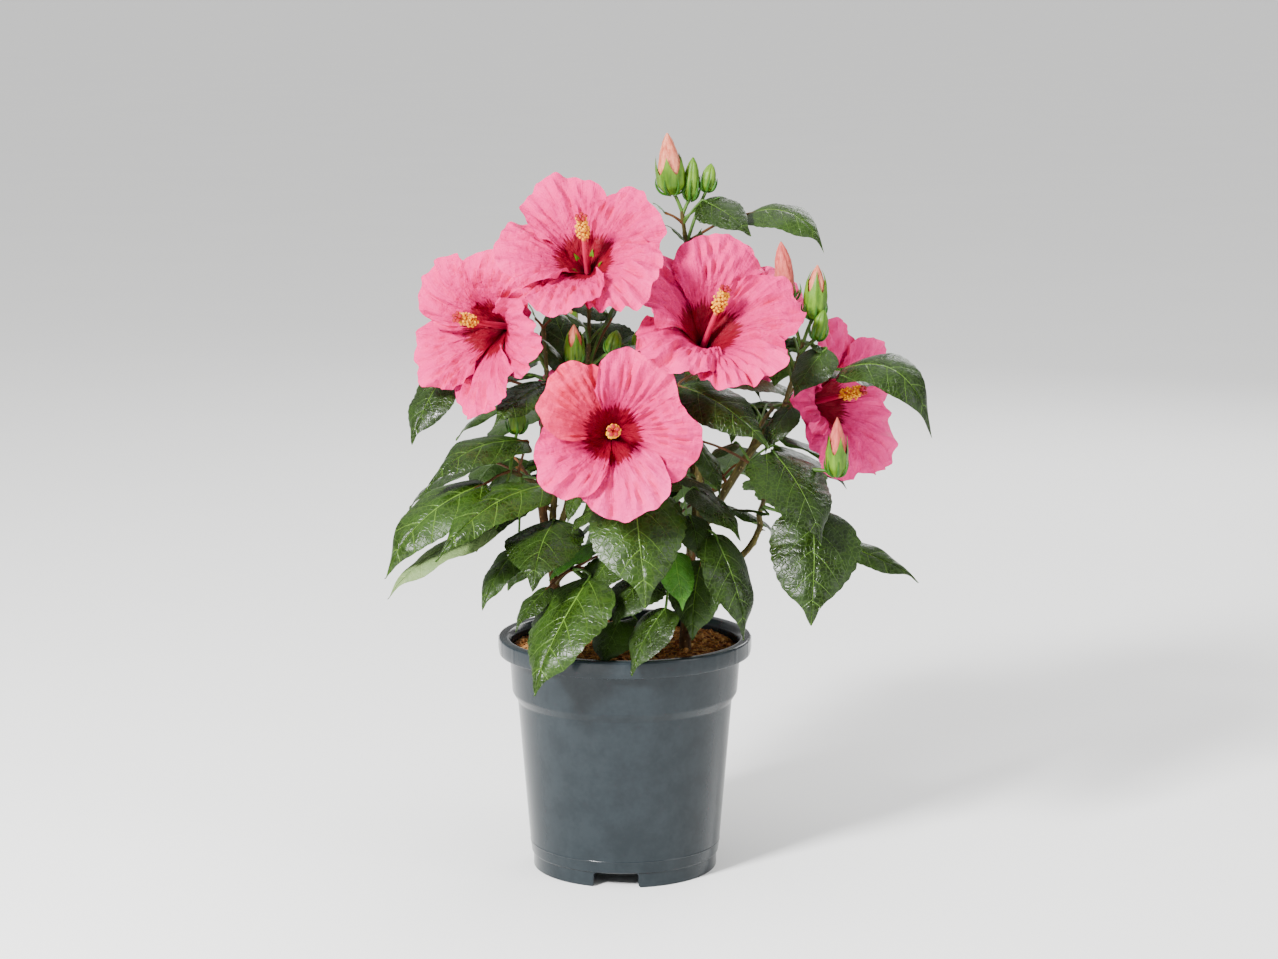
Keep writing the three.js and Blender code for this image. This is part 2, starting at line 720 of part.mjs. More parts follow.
// A leaf from its record, turned by some degrees of heading and pitch.
function turnedLeaf(points, record, turn, tilt, places) {
  const spec = [...record];
  spec[2] += turn;
  spec[6] += turn;
  spec[7] += tilt;
  return leaf(...stalkEnds(points, spec[0], spec.slice(1, 4)), spec, places);
}

for (const mass of masses) {
  for (const f of mass.spec.flowers ?? []) {
    addClear(mass, flower(...stalkEnds(mass.points, f.at, f.stalk), f));
  }
}
for (const mass of masses) {
  for (const b of mass.spec.buds ?? []) {
    addClear(mass, bud(...stalkEnds(mass.points, b.at, b.stalk), b));
  }
}
for (const mass of masses) {
  for (const record of mass.spec.leaves ?? []) {
    addClear(mass, turnedLeaf(mass.points, record, 0, 0, LEAF_STATIONS).whole);
  }
}
for (const mass of masses) {
  if (!mass.spec.shoot) continue;
  for (const record of shootLeaves(mass.spec.shoot)) {
    TURNS.some(([turn, tilt]) => {
      const grown = turnedLeaf(mass.points, record, turn, tilt, SHOOT_LEAF_STATIONS);
      return addClear(mass, grown.whole, grown.surface);
    });
  }
}
for (const mass of masses) {
  addNode(mass.name, oneBody(wasm.Manifold.union(mass.parts)), COLOURS.foliage);
}

// The plant stands with the middle of its footprint on the origin
const box = new THREE.Box3().setFromObject(group);
const middle = box.getCenter(new THREE.Vector3());
group.position.set(-middle.x, -middle.y, -box.min.z);

export default group;
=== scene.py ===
"""Dressed scene of a potted hibiscus shrub in bloom.

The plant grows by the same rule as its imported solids, carried on to finer twigs, leaves, petals
and buds. Lengths are millimetres from the middle of the pot's foot until a piece is made, and
angles are degrees. A heading of -90 comes towards the viewer and 0 goes to the viewer's right.
"""

import json
import logging
import math
from collections.abc import Callable, Iterator
from dataclasses import dataclass, field
from enum import Enum

import bmesh
import bpy
import numpy as np
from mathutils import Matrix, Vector
from mathutils.kdtree import KDTree

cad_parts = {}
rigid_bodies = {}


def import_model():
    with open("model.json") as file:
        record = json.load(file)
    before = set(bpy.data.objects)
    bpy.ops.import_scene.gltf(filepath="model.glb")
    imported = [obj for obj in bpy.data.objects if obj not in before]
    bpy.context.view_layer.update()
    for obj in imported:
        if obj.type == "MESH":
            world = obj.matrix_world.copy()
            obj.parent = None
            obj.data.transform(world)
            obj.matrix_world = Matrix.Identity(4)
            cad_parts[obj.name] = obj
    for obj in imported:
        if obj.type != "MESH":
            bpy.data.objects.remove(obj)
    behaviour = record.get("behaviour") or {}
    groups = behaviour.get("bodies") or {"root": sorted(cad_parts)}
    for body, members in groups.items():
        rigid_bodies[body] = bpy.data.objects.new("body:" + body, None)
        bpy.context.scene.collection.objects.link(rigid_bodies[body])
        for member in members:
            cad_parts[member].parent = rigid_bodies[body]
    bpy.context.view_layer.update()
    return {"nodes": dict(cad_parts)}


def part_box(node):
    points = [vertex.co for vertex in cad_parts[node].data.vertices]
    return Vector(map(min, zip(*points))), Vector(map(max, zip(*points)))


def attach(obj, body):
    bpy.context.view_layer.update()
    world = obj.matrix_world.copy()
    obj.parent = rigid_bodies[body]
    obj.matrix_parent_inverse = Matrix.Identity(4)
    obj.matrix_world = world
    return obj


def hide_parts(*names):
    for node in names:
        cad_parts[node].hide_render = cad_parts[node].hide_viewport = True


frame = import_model()

log = logging.getLogger("hibiscus")

Array = np.ndarray
Pair = tuple[float, float]
Spot = tuple[float, float, float]
Record = tuple[float, ...]
Random = np.random.Generator
Object = bpy.types.Object
Material = bpy.types.Material
Tree = bpy.types.NodeTree
Node = bpy.types.Node
Link = bpy.types.NodeSocket
Tile = tuple[float, float, float, float]
MM = 0.001
BODY = "root"
BAKE_MAP = "OFBake"
FINISH_MAP = "Finish"
# How many millimetres of length one unit of a finish's coordinates covers
RUN = 100.0
SHORT_RUN = 60.0
STALK_RUN = 40.0

# How the side ribs of a leaf lie, in its shape and in its finish alike: how many there are, how
# they slant and bow towards the tip, how they sway, and how far the two sides stand staggered.
RIBS, RIB_SLANT, RIB_BOW = 5.0, 0.6, 2.0
RIB_SWAY, RIB_WAVES, RIB_PHASE, RIB_STAGGER = 0.018, 11.0, 2.0, 0.02


class Slot(Enum):
    """The record's material slots."""

    POT = "pot_plastic"
    COIR = "coir"
    BARK = "bark"
    GREEN_BARK = "green_bark"
    FOLIAGE = "foliage"


# Small mathematics


def linear(code: str) -> tuple[float, float, float, float]:
    """Turns a screen colour into the linear one that a shader takes.

    Args:
        code: The colour as "#rrggbb".

    Returns:
        Red, green, blue and full alpha.
    """
    shares = [int(code[i : i + 2], 16) / 255 for i in (1, 3, 5)]
    bright = [c / 12.92 if c <= 0.04045 else ((c + 0.055) / 1.055) ** 2.4 for c in shares]
    return (*bright, 1.0)


def along(heading: float, pitch: float) -> Array:
    """The unit direction with this heading and pitch."""
    h, p = math.radians(heading), math.radians(pitch)
    return np.array([math.cos(p) * math.cos(h), math.cos(p) * math.sin(h), math.sin(p)])


def unit(v: Array) -> Array:
    """The same direction, or the same directions row by row, one long."""
    return v / np.maximum(np.linalg.norm(v, axis=-1, keepdims=True), 1e-9)


def smooth(low: float, high: float, x: Array | float) -> Array:
    """Rises softly from 0 at `low` to 1 at `high`."""
    t = np.clip((np.asarray(x, float) - low) / (high - low), 0, 1)
    return t * t * (3 - 2 * t)


def turned(v: Array, axis: Array, degrees: float) -> Array:
    """A direction turned about a unit axis."""
    a = math.radians(degrees)
    across = np.cross(axis, v)
    return v * math.cos(a) + across * math.sin(a) + axis * np.dot(axis, v) * (1 - math.cos(a))


def bell(x: Array, middle: float, width: float) -> Array:
    """A soft hill that is 1 high at `middle`."""
    return np.exp(-(((x - middle) / width) ** 2))


def circle(sides: int) -> Array:
    """Even turns round a full circle, in radians."""
    return np.linspace(0, 2 * np.pi, sides, endpoint=False)


def around(turn: Array | float, across: Array, upward: Array) -> Array:
    """The directions at these turns in the plane of two others."""
    a = np.asarray(turn, float)[..., None]
    return np.cos(a) * across + np.sin(a) * upward


def spun(radius: Array | float, turn: Array, height: Array | float) -> Array:
    """Points at these radii, turns and heights round the upright axis."""
    spots = np.broadcast_arrays(radius * np.cos(turn), radius * np.sin(turn), height)
    return np.stack(spots, axis=-1)


def strides(line: Array) -> Array:
    """How far it is from each point of a line to the next."""
    return np.linalg.norm(np.diff(line, axis=0), axis=1)


def gone_along(line: Array) -> Array:
    """How far along a line each of its points lies."""
    return np.concatenate([[0], np.cumsum(strides(line))])


def seeded(seed: int) -> Callable[[], float]:
    """The repeatable sequence between 0 and 1 that the solids' leaves are set by.

    Args:
        seed: Where the sequence starts.

    Returns:
        A function that gives the next number.
    """
    state = seed

    def following() -> float:
        nonlocal state
        state = (state * 1664525 + 1013904223) % 2**32
        return state / 2**32

    return following


def flowing_line(points: Array | list[Array], count: int) -> Array:
    """A smooth line through some points.

    Args:
        points: The points that it passes, in order.
        count: How many points the line gets.

    Returns:
        The line's points, one a row.
    """
    given = np.asarray(points, float)
    ends = np.vstack([2 * given[0] - given[1], given, 2 * given[-1] - given[-2]])
    spots = np.linspace(0, len(given) - 1, count)
    i = np.minimum(spots.astype(int), len(given) - 2)
    t = (spots - i)[:, None]
    a, b, c, d = (ends[i + k] for k in range(4))
    return 0.5 * (
        2 * b + (c - a) * t + (2 * a - 5 * b + 4 * c - d) * t**2 + (3 * b - a - 3 * c + d) * t**3
    )


def point_at(points: Array, share: float) -> Array:
    """The point at a share of the length of a line of straight stretches."""
    steps = strides(points)
    left = share * steps.sum()
    for i, step in enumerate(steps):
        if left <= step or i == len(steps) - 1:
            return points[i] + (points[i + 1] - points[i]) * min(left / step, 1)
        left -= step
    return points[0]


def nearest_on(points: Array, p: Array) -> Array:
    """The point of a line of straight stretches that lies nearest to p."""
    best = points[0]
    for a, b in zip(points[:-1], points[1:]):
        share = np.clip(np.dot(p - a, b - a) / np.dot(b - a, b - a), 0, 1)
        spot = a + (b - a) * share
        if np.linalg.norm(spot - p) < np.linalg.norm(best - p):
            best = spot
    return best


def lay_rings(line: Array, radii: Array, sides: int) -> Array:
    """Rings of points round a line, carried along it without twist.

    Args:
        line: The line's points.
        radii: A radius for each point of the line, or for each point of each ring.
        sides: How many points a ring has.

    Returns:
        The points as line x sides x 3.
    """
    ways = unit(np.gradient(line, axis=0))
    side = np.array([1.0, 0.0, 0.0]) if abs(ways[0][0]) < 0.8 else np.array([0.0, 1.0, 0.0])
    firsts = []
    for way in ways:
        side = unit(side - way * np.dot(side, way))
        firsts.append(side)
    first = np.array(firsts)
    second = np.cross(ways, first)
    reach = np.asarray(radii, float).reshape(len(line), -1, 1)
    return line[:, None] + reach * around(circle(sides), first[:, None], second[:, None])


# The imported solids


class Packed:
    """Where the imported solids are, seen from the middle of the pot's foot in millimetres.

    A corner belongs to a twig's foot when its distance from the twig's axis misses the radius by
    no more than OFF, and when it lies between NEAR and FAR along the twig.
    """

    OFF = 0.12
    NEAR = -0.5
    FAR = 17

    def __init__(self) -> None:
        """Finds the pot's axis and gets ready to look into the nodes."""
        low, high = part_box("pot")
        self.origin = np.array([(low.x + high.x) / 2, (low.y + high.y) / 2, low.z])
        self.trees: dict[str, KDTree] = {}

    def corners(self, node: str) -> Array:
        """The corner points of a node."""
        mesh = frame["nodes"][node].data
        flat = np.empty(3 * len(mesh.vertices), np.float32)
        mesh.vertices.foreach_get("co", flat)
        return (flat.reshape(-1, 3) - self.origin) / MM

    def holds(self, node: str, spot: Array, within: float) -> bool:
        """Whether a node has a corner at a spot, so that the solid there was kept.

        Args:
            node: The node's name.
            spot: The place looked at.
            within: How far off the corner may lie.

        Returns:
            True when it has one.
        """
        if node not in self.trees:
            points = self.corners(node)
            tree = KDTree(len(points))
            for i, p in enumerate(points):
                tree.insert(Vector(p), i)
            tree.balance()
            self.trees[node] = tree
        return self.trees[node].find(Vector(spot))[2] < within

    def clear_start(self, node: str, host: Array, line: Array, radius: float) -> Array:
        """Where a twig leaves what it grows from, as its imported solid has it.

        Args:
            node: The twig's own node.
            host: The axis of the stem or bough that carries it.
            line: The twig's points as they are named.
            radius: The twig's radius at its foot.

        Returns:
            The twig's points with the true first one.
        """
        foot = nearest_on(host, line[0])
        way = unit(line[1] - foot)
        away = self.corners(node) - foot
        reach = away @ way
        off = np.linalg.norm(away - reach[:, None] * way, axis=1)
        near = (np.abs(off - radius) < self.OFF) & (reach > self.NEAR) & (reach < self.FAR)
        start = foot + way * (reach[near].min() if near.any() else 0)
        return np.vstack([start, line[1:]])


PACKED = Packed()


# Meshes


@dataclass
class Sheet:
    """Faces over a grid of point numbers, with the coordinates that their finish reads."""

    ids: Array
    local: Array
    material: Material


@dataclass
class Laid:
    """The faces of a piece, with the finish of each and two coordinates for each corner."""

    materials: list[Material] = field(default_factory=list)
    faces: list[tuple[int, ...]] = field(default_factory=list)
    picks: list[int] = field(default_factory=list)
    bake: list[Array] = field(default_factory=list)
    finish: list[Array] = field(default_factory=list)


def placed(name: str, data: bpy.types.ID) -> Object:
    """A new object in the scene."""
    made = bpy.data.objects.new(name, data)
    bpy.context.scene.collection.objects.link(made)
    return made


class Piece:
    """Collects closed shapes into one joined mesh, each sheet with its own tile of the bake."""

    PAD = 0.03
    DOME = 0.12
    SHARP = 50
    BELOW, ABOVE = slice(None, -1), slice(1, None)
    CORNERS = ((BELOW, BELOW), (BELOW, ABOVE), (ABOVE, ABOVE), (ABOVE, BELOW))

    def __init__(self, name: str) -> None:
        """Starts an empty piece.

        Args:
            name: What the finished object is called.
        """
        self.name = name
        self.points: list[Array] = []
        self.count = 0
        self.sheets: list[Sheet] = []

    def add_points(self, points: Array) -> Array:
        """Adds points of any grid and gives their numbers in the same layout."""
        flat = points.reshape(-1, 3)
        ids = np.arange(self.count, self.count + len(flat)).reshape(points.shape[:-1])
        self.points.append(flat)
        self.count += len(flat)
        return ids

    def closed_tube(self, rings: Array, material: Material, run: float = RUN, flat: bool = False) -> None:
        """Adds a closed tube over rings of points.

        Args:
            rings: The points as rings x sides x 3.
            material: Its finish.
            run: How many millimetres of length one unit of the finish's coordinates covers.
            flat: Whether the ends close straight across and not with a small dome.
        """
        centres = rings.mean(1)
        ends = centres[[0, -1]]
        if not flat:
            ends = ends + (ends - centres[[1, -2]]) * self.DOME
        ids = self.add_points(rings)
        poles = self.add_points(ends)
        sides = rings.shape[1]
        rows = np.vstack([np.full(sides, poles[0]), ids, np.full(sides, poles[1])])
        length = gone_along(np.vstack([ends[0], centres, ends[1]])) / run
        self.add_round(rows, length, material)

    def strand(
        self, points: list[Array], radii: Array, sides: int, material: Material, run: float = RUN
    ) -> None:
        """Adds a tube along a smooth line through some points, with a ring for each radius."""
        line = flowing_line(points, len(radii))
        self.closed_tube(lay_rings(line, radii, sides), material, run)

    def add_round(self, rows: Array, length: Array, material: Material) -> None:
        """Adds the faces of rings that close on themselves, with `length` as second coordinate."""
        sides = rows.shape[1]
        local = np.empty((rows.shape[0], sides + 1, 2))
        local[..., 0] = np.linspace(0, 1, sides + 1)[None, :]
        local[..., 1] = np.asarray(length)[:, None]
        self.sheets.append(Sheet(np.hstack([rows, rows[:, :1]]), local, material))

    def thin_shell(
        self,
        front: Array,
        back: Array,
        local: Array,
        materials: tuple[Material, Material],
        poles: tuple[bool, bool] = (False, False),
        wrap: bool = False,
    ) -> None:
        """Adds a thin closed body between two grids that share their rim.

        Args:
            front: The points of the face that shows.
            back: The points of the face behind, in the same layout.
            local: The finish's coordinates at each point.
            materials: The finishes of front and back.
            poles: Whether the first and the last row close to one point.
            wrap: Whether each row closes on itself, so that only the last row is shared.
        """
        ids = self.add_points(front)
        shared = np.zeros(ids.shape, bool)
        shared[-1] = True
        if not wrap:
            shared[0] = shared[:, 0] = shared[:, -1] = True
        behind = ids.copy()
        behind[~shared] = self.add_points(back[~shared])
        for rows in (ids, behind):
            if poles[0]:
                rows[0] = rows[0, 0]
            if poles[1]:
                rows[-1] = rows[-1, 0]
        for rows, material in zip((ids, behind), materials):
            sheet = Sheet(rows, local, material)
            if wrap:
                last = local[:, :1] + (1, 0)
                sheet = Sheet(np.hstack([rows, rows[:, :1]]), np.hstack([local, last]), material)
            self.sheets.append(sheet)

    def tiles(self) -> Iterator[Tile]:
        """The bake's tile of each sheet in turn, as left, bottom, width and height."""
        across = math.ceil(math.sqrt(len(self.sheets)))
        down = math.ceil(len(self.sheets) / across)
        for i in range(len(self.sheets)):
            row, column = divmod(i, across)
            yield column / across, row / down, 1 / across, 1 / down

    def build(self, slot: Slot, *nodes: str) -> Object:
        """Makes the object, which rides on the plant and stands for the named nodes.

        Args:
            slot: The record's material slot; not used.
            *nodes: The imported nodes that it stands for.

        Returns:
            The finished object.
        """
        laid = Laid()
        for sheet, tile in zip(self.sheets, self.tiles()):
            self.lay(sheet, tile, laid)
        mesh = bpy.data.meshes.new(self.name)
        points = np.vstack(self.points) * MM + PACKED.origin
        mesh.from_pydata(points.tolist(), [], laid.faces)
        for material in laid.materials:
            mesh.materials.append(material)
        mesh.polygons.foreach_set("material_index", laid.picks)
        for name, corners in ((BAKE_MAP, laid.bake), (FINISH_MAP, laid.finish)):
            layer = mesh.uv_layers.new(name=name)
            layer.data.foreach_set("uv", np.vstack(corners).ravel().astype(np.float32))
        shape = bmesh.new()
        shape.from_mesh(mesh)
        bmesh.ops.recalc_face_normals(shape, faces=shape.faces)
        for face in shape.faces:
            face.smooth = True
        shape.to_mesh(mesh)
        shape.free()
        mesh.set_sharp_from_angle(angle=math.radians(self.SHARP))
        made = placed(self.name, mesh)
        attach(made, BODY)
        if nodes:
            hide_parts(*nodes)
        log.info("%s: %d faces, %d finishes", self.name, len(laid.faces), len(laid.materials))
        return made

    def lay(self, sheet: Sheet, tile: Tile, laid: Laid) -> None:
        """Adds the faces of one sheet, with a triangle where an edge has closed to a point.

        Args:
            sheet: The grid of points and its finish.
            tile: The sheet's place in the bake, as left, bottom, width and height.
            laid: Where the faces are collected.
        """
        if sheet.material not in laid.materials:
            laid.materials.append(sheet.material)
        pick = laid.materials.index(sheet.material)
        quad = np.stack([sheet.ids[c].ravel() for c in self.CORNERS], axis=1)
        places = [
            np.stack([grid[c].reshape(-1, 2) for c in self.CORNERS], axis=1)
            for grid in (self.tile_grid(sheet.ids.shape, tile), sheet.local)
        ]
        first, last = quad[:, 0] == quad[:, 1], quad[:, 2] == quad[:, 3]
        for keep, picked, closed in (
            (~first & ~last, [0, 1, 2, 3], None),
            (first, [0, 2, 3], 0),
            (last, [0, 1, 2], 2),
        ):
            laid.faces.extend(map(tuple, quad[keep][:, picked].tolist()))
            laid.picks.extend([pick] * int(keep.sum()))
            for layer, store in zip(places, (laid.bake, laid.finish)):
                spots = layer[keep]
                if closed is not None:
                    spots[:, closed] = (spots[:, closed] + spots[:, closed + 1]) / 2
                store.append(spots[:, picked].reshape(-1, 2))

    def tile_grid(self, shape: tuple[int, ...], tile: Tile) -> Array:
        """Bake coordinates of a grid of points inside one tile."""
        left, bottom, width, height = tile
        u = left + width * np.linspace(self.PAD, 1 - self.PAD, shape[1])
        v = bottom + height * np.linspace(self.PAD, 1 - self.PAD, shape[0])
        return np.stack(np.broadcast_arrays(u[None, :], v[:, None]), axis=2)


# Shader nodes


class Desk:
    """Places and links the nodes of one tree."""

    def __init__(self, tree: Tree) -> None:
        """Works on this tree."""
        self.tree = tree

    def node(self, kind: str, **settings: object) -> Node:
        """A new node with some of its settings given."""
        made = self.tree.nodes.new(kind)
        for name, value in settings.items():
            setattr(made, name, value)
        return made

    def feed(self, socket: Link, value: object) -> None:
        """Links a socket, or sets it to a plain value or to a screen colour's code."""
        if isinstance(value, Link):
            self.tree.links.new(value, socket)
        else:
            socket.default_value = linear(value) if isinstance(value, str) else value

    def fed(self, made: Node, *values: object) -> Node:
        """A node with its inputs fed in order."""
        for socket, value in zip(made.inputs, values):
            self.feed(socket, value)
        return made

    def set(self, made: Node, **values: object) -> Node:
        """A node with its inputs fed by name, with underscores for spaces."""
        for name, value in values.items():
            self.feed(made.inputs[name.replace("_", " ")], value)
        return made

    def math(self, operation: str, *values: object) -> Link:
        """One step of arithmetic."""
        return self.fed(self.node("ShaderNodeMath", operation=operation), *values).outputs[0]

    def times(self, a: object, b: object) -> Link:
        """Two values multiplied."""
        return self.math("MULTIPLY", a, b)

    def minus(self, a: object, b: object) -> Link:
        """The second value taken from the first."""
        return self.math("SUBTRACT", a, b)

    def plus_share(self, value: object, other: Link, share: float) -> Link:
        """A value with a share of another added."""
        return self.math("MULTIPLY_ADD", other, share, value)

    def weighed(self, a: Link, share_a: float, b: Link, share_b: float) -> Link:
        """Two values added by their shares."""
        return self.plus_share(self.times(b, share_b), a, share_a)

    def swung(self, value: Link, noise: Link, by: float) -> Link:
        """A value pushed up and down by a noise around a half."""
        return self.plus_share(value, self.minus(noise, 0.5), by)

    def left(self, value: Link) -> Link:
        """What a value leaves of 1, and never less than 0."""
        return self.math("MAXIMUM", self.minus(1.0, value), 0.0)

    def mix(self, share: object, low: object, high: object) -> Link:
        """One colour turning into another."""
        made = self.node("ShaderNodeMix", data_type="RGBA")
        for place, value in ((0, share), (6, low), (7, high)):
            self.feed(made.inputs[place], value)
        return made.outputs[2]

    def span(self, value: Link, start: float, stop: float, low: float = 0, high: float = 1) -> Link:
        """A value carried softly from one span to another."""
        made = self.node("ShaderNodeMapRange", interpolation_type="SMOOTHSTEP")
        return self.fed(made, value, start, stop, low, high).outputs[0]

    def parts(self, vector: Link) -> tuple[Link, ...]:
        """The three parts of a vector."""
        return tuple(self.fed(self.node("ShaderNodeSeparateXYZ"), vector).outputs)

    def joined(self, *parts: object) -> Link:
        """A vector made of its first parts."""
        return self.fed(self.node("ShaderNodeCombineXYZ"), *parts).outputs[0]

    def vector(self, operation: str, a: object, b: object) -> Link:
        """One step of arithmetic on two vectors, part by part."""
        return self.fed(self.node("ShaderNodeVectorMath", operation=operation), a, b).outputs[0]

    def noise(self, vector: Link, scale: object, detail: float = 3.0, rough: float = 0.55) -> Link:
        """Soft seeded noise between 0 and 1."""
        made = self.node("ShaderNodeTexNoise")
        self.set(made, Vector=vector, Scale=scale, Detail=detail, Roughness=rough)
        return made.outputs["Fac"]

    def group(self, tree: Tree, **values: object) -> Node:
        """A shared effect placed here with its own values."""
        return self.set(self.node("ShaderNodeGroup", node_tree=tree), **values)


class Effects:
    """The effects that several finishes share, each built once as a node group."""

    RIB_WIDTH = 0.036

    def __init__(self) -> None:
        """Builds the groups."""
        self.mottle = self.build("soft_mottle", self.lay_mottle)
        self.streaks = self.build("fine_streaks", self.lay_streaks)
        self.veins = self.build("leaf_veins", self.lay_veins)
        self.pores = self.build("open_pores", self.lay_pores)

    @staticmethod
    def build(name: str, lay: Callable[[Desk], None]) -> Tree:
        """A new group, laid out by one of the methods below."""
        tree = bpy.data.node_groups.new(name, "ShaderNodeTree")
        lay(Desk(tree))
        return tree

    @staticmethod
    def sockets(desk: Desk, takes: tuple[str, ...], gives: tuple[str, ...]) -> tuple[list[Link], Node]:
        """The named inputs and outputs of a group.

        Args:
            desk: Where its nodes go.
            takes: The inputs that follow the vector, all of them plain values.
            gives: The outputs, all of them plain values.

        Returns:
            What comes in, and the node at the group's end.
        """
        for side, names in (("INPUT", ("Vector", *takes)), ("OUTPUT", gives)):
            for name in names:
                kind = "NodeSocketVector" if name == "Vector" else "NodeSocketFloat"
                desk.tree.interface.new_socket(name=name, in_out=side, socket_type=kind)
        coming = list(desk.node("NodeGroupInput").outputs)[: len(takes) + 1]
        return coming, desk.node("NodeGroupOutput")

    def lay_mottle(self, desk: Desk) -> None:
        """Cloudy patches with finer ones in them."""
        (place, scale), end = self.sockets(desk, ("Scale",), ("Mask",))
        broad = desk.noise(place, scale, 2.0)
        fine = desk.noise(place, desk.times(scale, 5.3), 3.0)
        desk.fed(end, desk.span(desk.weighed(broad, 0.65, fine, 0.35), 0.32, 0.68))

    def lay_streaks(self, desk: Desk) -> None:
        """Lines that run along the second finish coordinate."""
        (place, across, run), end = self.sockets(desk, ("Across", "Along"), ("Mask", "Fine"))
        stretched = desk.vector("MULTIPLY", place, desk.joined(across, run))
        closer = desk.vector("MULTIPLY", stretched, (3.1, 1.6, 1.0))
        mask = desk.span(desk.noise(stretched, 1.0, 2.0), 0.3, 0.7)
        desk.fed(end, mask, desk.noise(closer, 1.0, 3.0, 0.6))

    def lay_veins(self, desk: Desk) -> None:
        """A leaf's midrib, its side ribs and the fine net between them."""
        (place,), end = self.sockets(desk, (), ("Ribs", "Net", "Height"))
        across, run, _ = desk.parts(place)
        aside = desk.minus(across, 0.5)
        off, sign = desk.math("ABSOLUTE", aside), desk.math("SIGN", aside)
        rise = desk.minus(run, desk.times(off, desk.plus_share(RIB_SLANT, off, RIB_BOW)))
        phase = desk.weighed(run, RIB_WAVES, sign, RIB_PHASE)
        shift = desk.weighed(desk.math("SINE", phase), RIB_SWAY, sign, RIB_STAGGER)
        spot = desk.times(desk.math("ADD", rise, shift), RIBS)
        side = desk.math("PINGPONG", spot, 0.5)
        width = desk.times(self.RIB_WIDTH, desk.span(off, 0.0, 0.3, 1.0, 0.3))
        ribs = desk.left(desk.math("DIVIDE", side, width))
        taper = desk.span(run, 0.0, 1.0, 0.009, 0.002)
        middle = desk.left(desk.math("DIVIDE", off, taper))
        both = desk.math("MAXIMUM", desk.times(ribs, 0.8), desk.times(middle, 1.5))
        sway = desk.joined(desk.times(desk.noise(place, 9.0, 1.0), 0.07))
        net = desk.node("ShaderNodeTexVoronoi", feature="DISTANCE_TO_EDGE")
        desk.set(net, Vector=desk.vector("ADD", place, sway), Scale=26.0)
        lines = desk.span(net.outputs["Distance"], 0.0, 0.14, 1.0, 0.0)
        sunk = desk.weighed(lines, 0.35, both, 0.7)
        desk.fed(end, both, lines, desk.minus(1.0, sunk))

    def lay_pores(self, desk: Desk) -> None:
        """Scattered spots of one size."""
        (place, scale, size), end = self.sockets(desk, ("Scale", "Size"), ("Mask",))
        cells = desk.set(desk.node("ShaderNodeTexVoronoi"), Vector=place, Scale=scale)
        desk.fed(end, desk.left(desk.math("DIVIDE", cells.outputs["Distance"], size)))


class Shade:
    """One material in the making: its shader, its coordinates and its bump."""

    def __init__(self, name: str, effects: Effects | None = None) -> None:
        """Starts a material.

        Args:
            name: What the material is called.
            effects: The shared effects, where it takes any of them.
        """
        self.material = bpy.data.materials.new(name)
        self.material.use_nodes = True
        self.effects = effects
        self.desk = Desk(self.material.node_tree)
        self.shader = self.material.node_tree.nodes["Principled BSDF"]
        self.place = self.desk.node("ShaderNodeTexCoord").outputs["Object"]
        self.local = self.desk.node("ShaderNodeUVMap", uv_map=FINISH_MAP).outputs[0]
        self.run = self.desk.parts(self.local)[1]

    def set(self, **values: object) -> None:
        """Feeds the shader's own sockets, named with spaces as underscores."""
        self.desk.set(self.shader, **values)

    def mottle(self, scale: float) -> Link:
        """Cloudy patches all over the object."""
        return self.desk.group(self.effects.mottle, Vector=self.place, Scale=scale).outputs[0]

    def streaks(self, across: float, run: float) -> tuple[Link, Link]:
        """Streaks along the finish's own coordinates, as a mask and as finer lines."""
        made = self.desk.group(self.effects.streaks, Vector=self.local, Across=across, Along=run)
        return made.outputs["Mask"], made.outputs["Fine"]

    def pores(self, place: Link, scale: float, size: float) -> Link:
        """Scattered spots."""
        return self.desk.group(self.effects.pores, Vector=place, Scale=scale, Size=size).outputs[0]

    def bump(self, height: Link, millimetres: float) -> None:
        """Adds relief to the surface, on top of any that it has."""
        made = self.desk.node("ShaderNodeBump")
        self.desk.set(made, Strength=1.0, Distance=millimetres * MM, Height=height)
        before = self.shader.inputs["Normal"]
        if before.is_linked:
            self.desk.feed(made.inputs["Normal"], before.links[0].from_socket)
        self.desk.feed(before, made.outputs[0])


@dataclass(frozen=True)
class Finish:
    """A finish, which makes one material."""

    name: str

    def make(self, effects: Effects) -> Material:
        """Builds the material."""
        shade = Shade(self.name, effects)
        self.lay(shade, shade.desk)
        return shade.material

    def lay(self, shade: Shade, desk: Desk) -> None:
        """Lays out the nodes, each kind of finish in its own way."""
        raise NotImplementedError


@dataclass(frozen=True)
class LeafFinish(Finish):
    """Leaf skin with ribs and a fine net of veins."""

    dark: str
    light: str
    rib: str
    roughness: float
    rib_share: float = 0.8
    relief: float = 0.35
    net_share: float = 0.14
    grain: float = 0.16

    def lay(self, shade: Shade, desk: Desk) -> None:
        """Lays out the nodes."""
        mottle = shade.mottle(45.0)
        veins = desk.group(shade.effects.veins, Vector=shade.local)
        skin = desk.mix(mottle, self.dark, self.light)
        seen = desk.times(veins.outputs["Net"], self.rib_share * self.net_share)
        skin = desk.mix(seen, skin, self.rib)
        seen = desk.math("MINIMUM", desk.times(veins.outputs["Ribs"], self.rib_share), 1.0)
        shade.set(Base_Color=desk.mix(seen, skin, self.rib), Specular_IOR_Level=0.22)
        shade.set(Roughness=desk.span(mottle, 0, 1, self.roughness, self.roughness + 0.12))
        shade.bump(veins.outputs["Height"], self.relief)
        shade.bump(desk.noise(shade.place, 260.0, 2.0), self.grain)


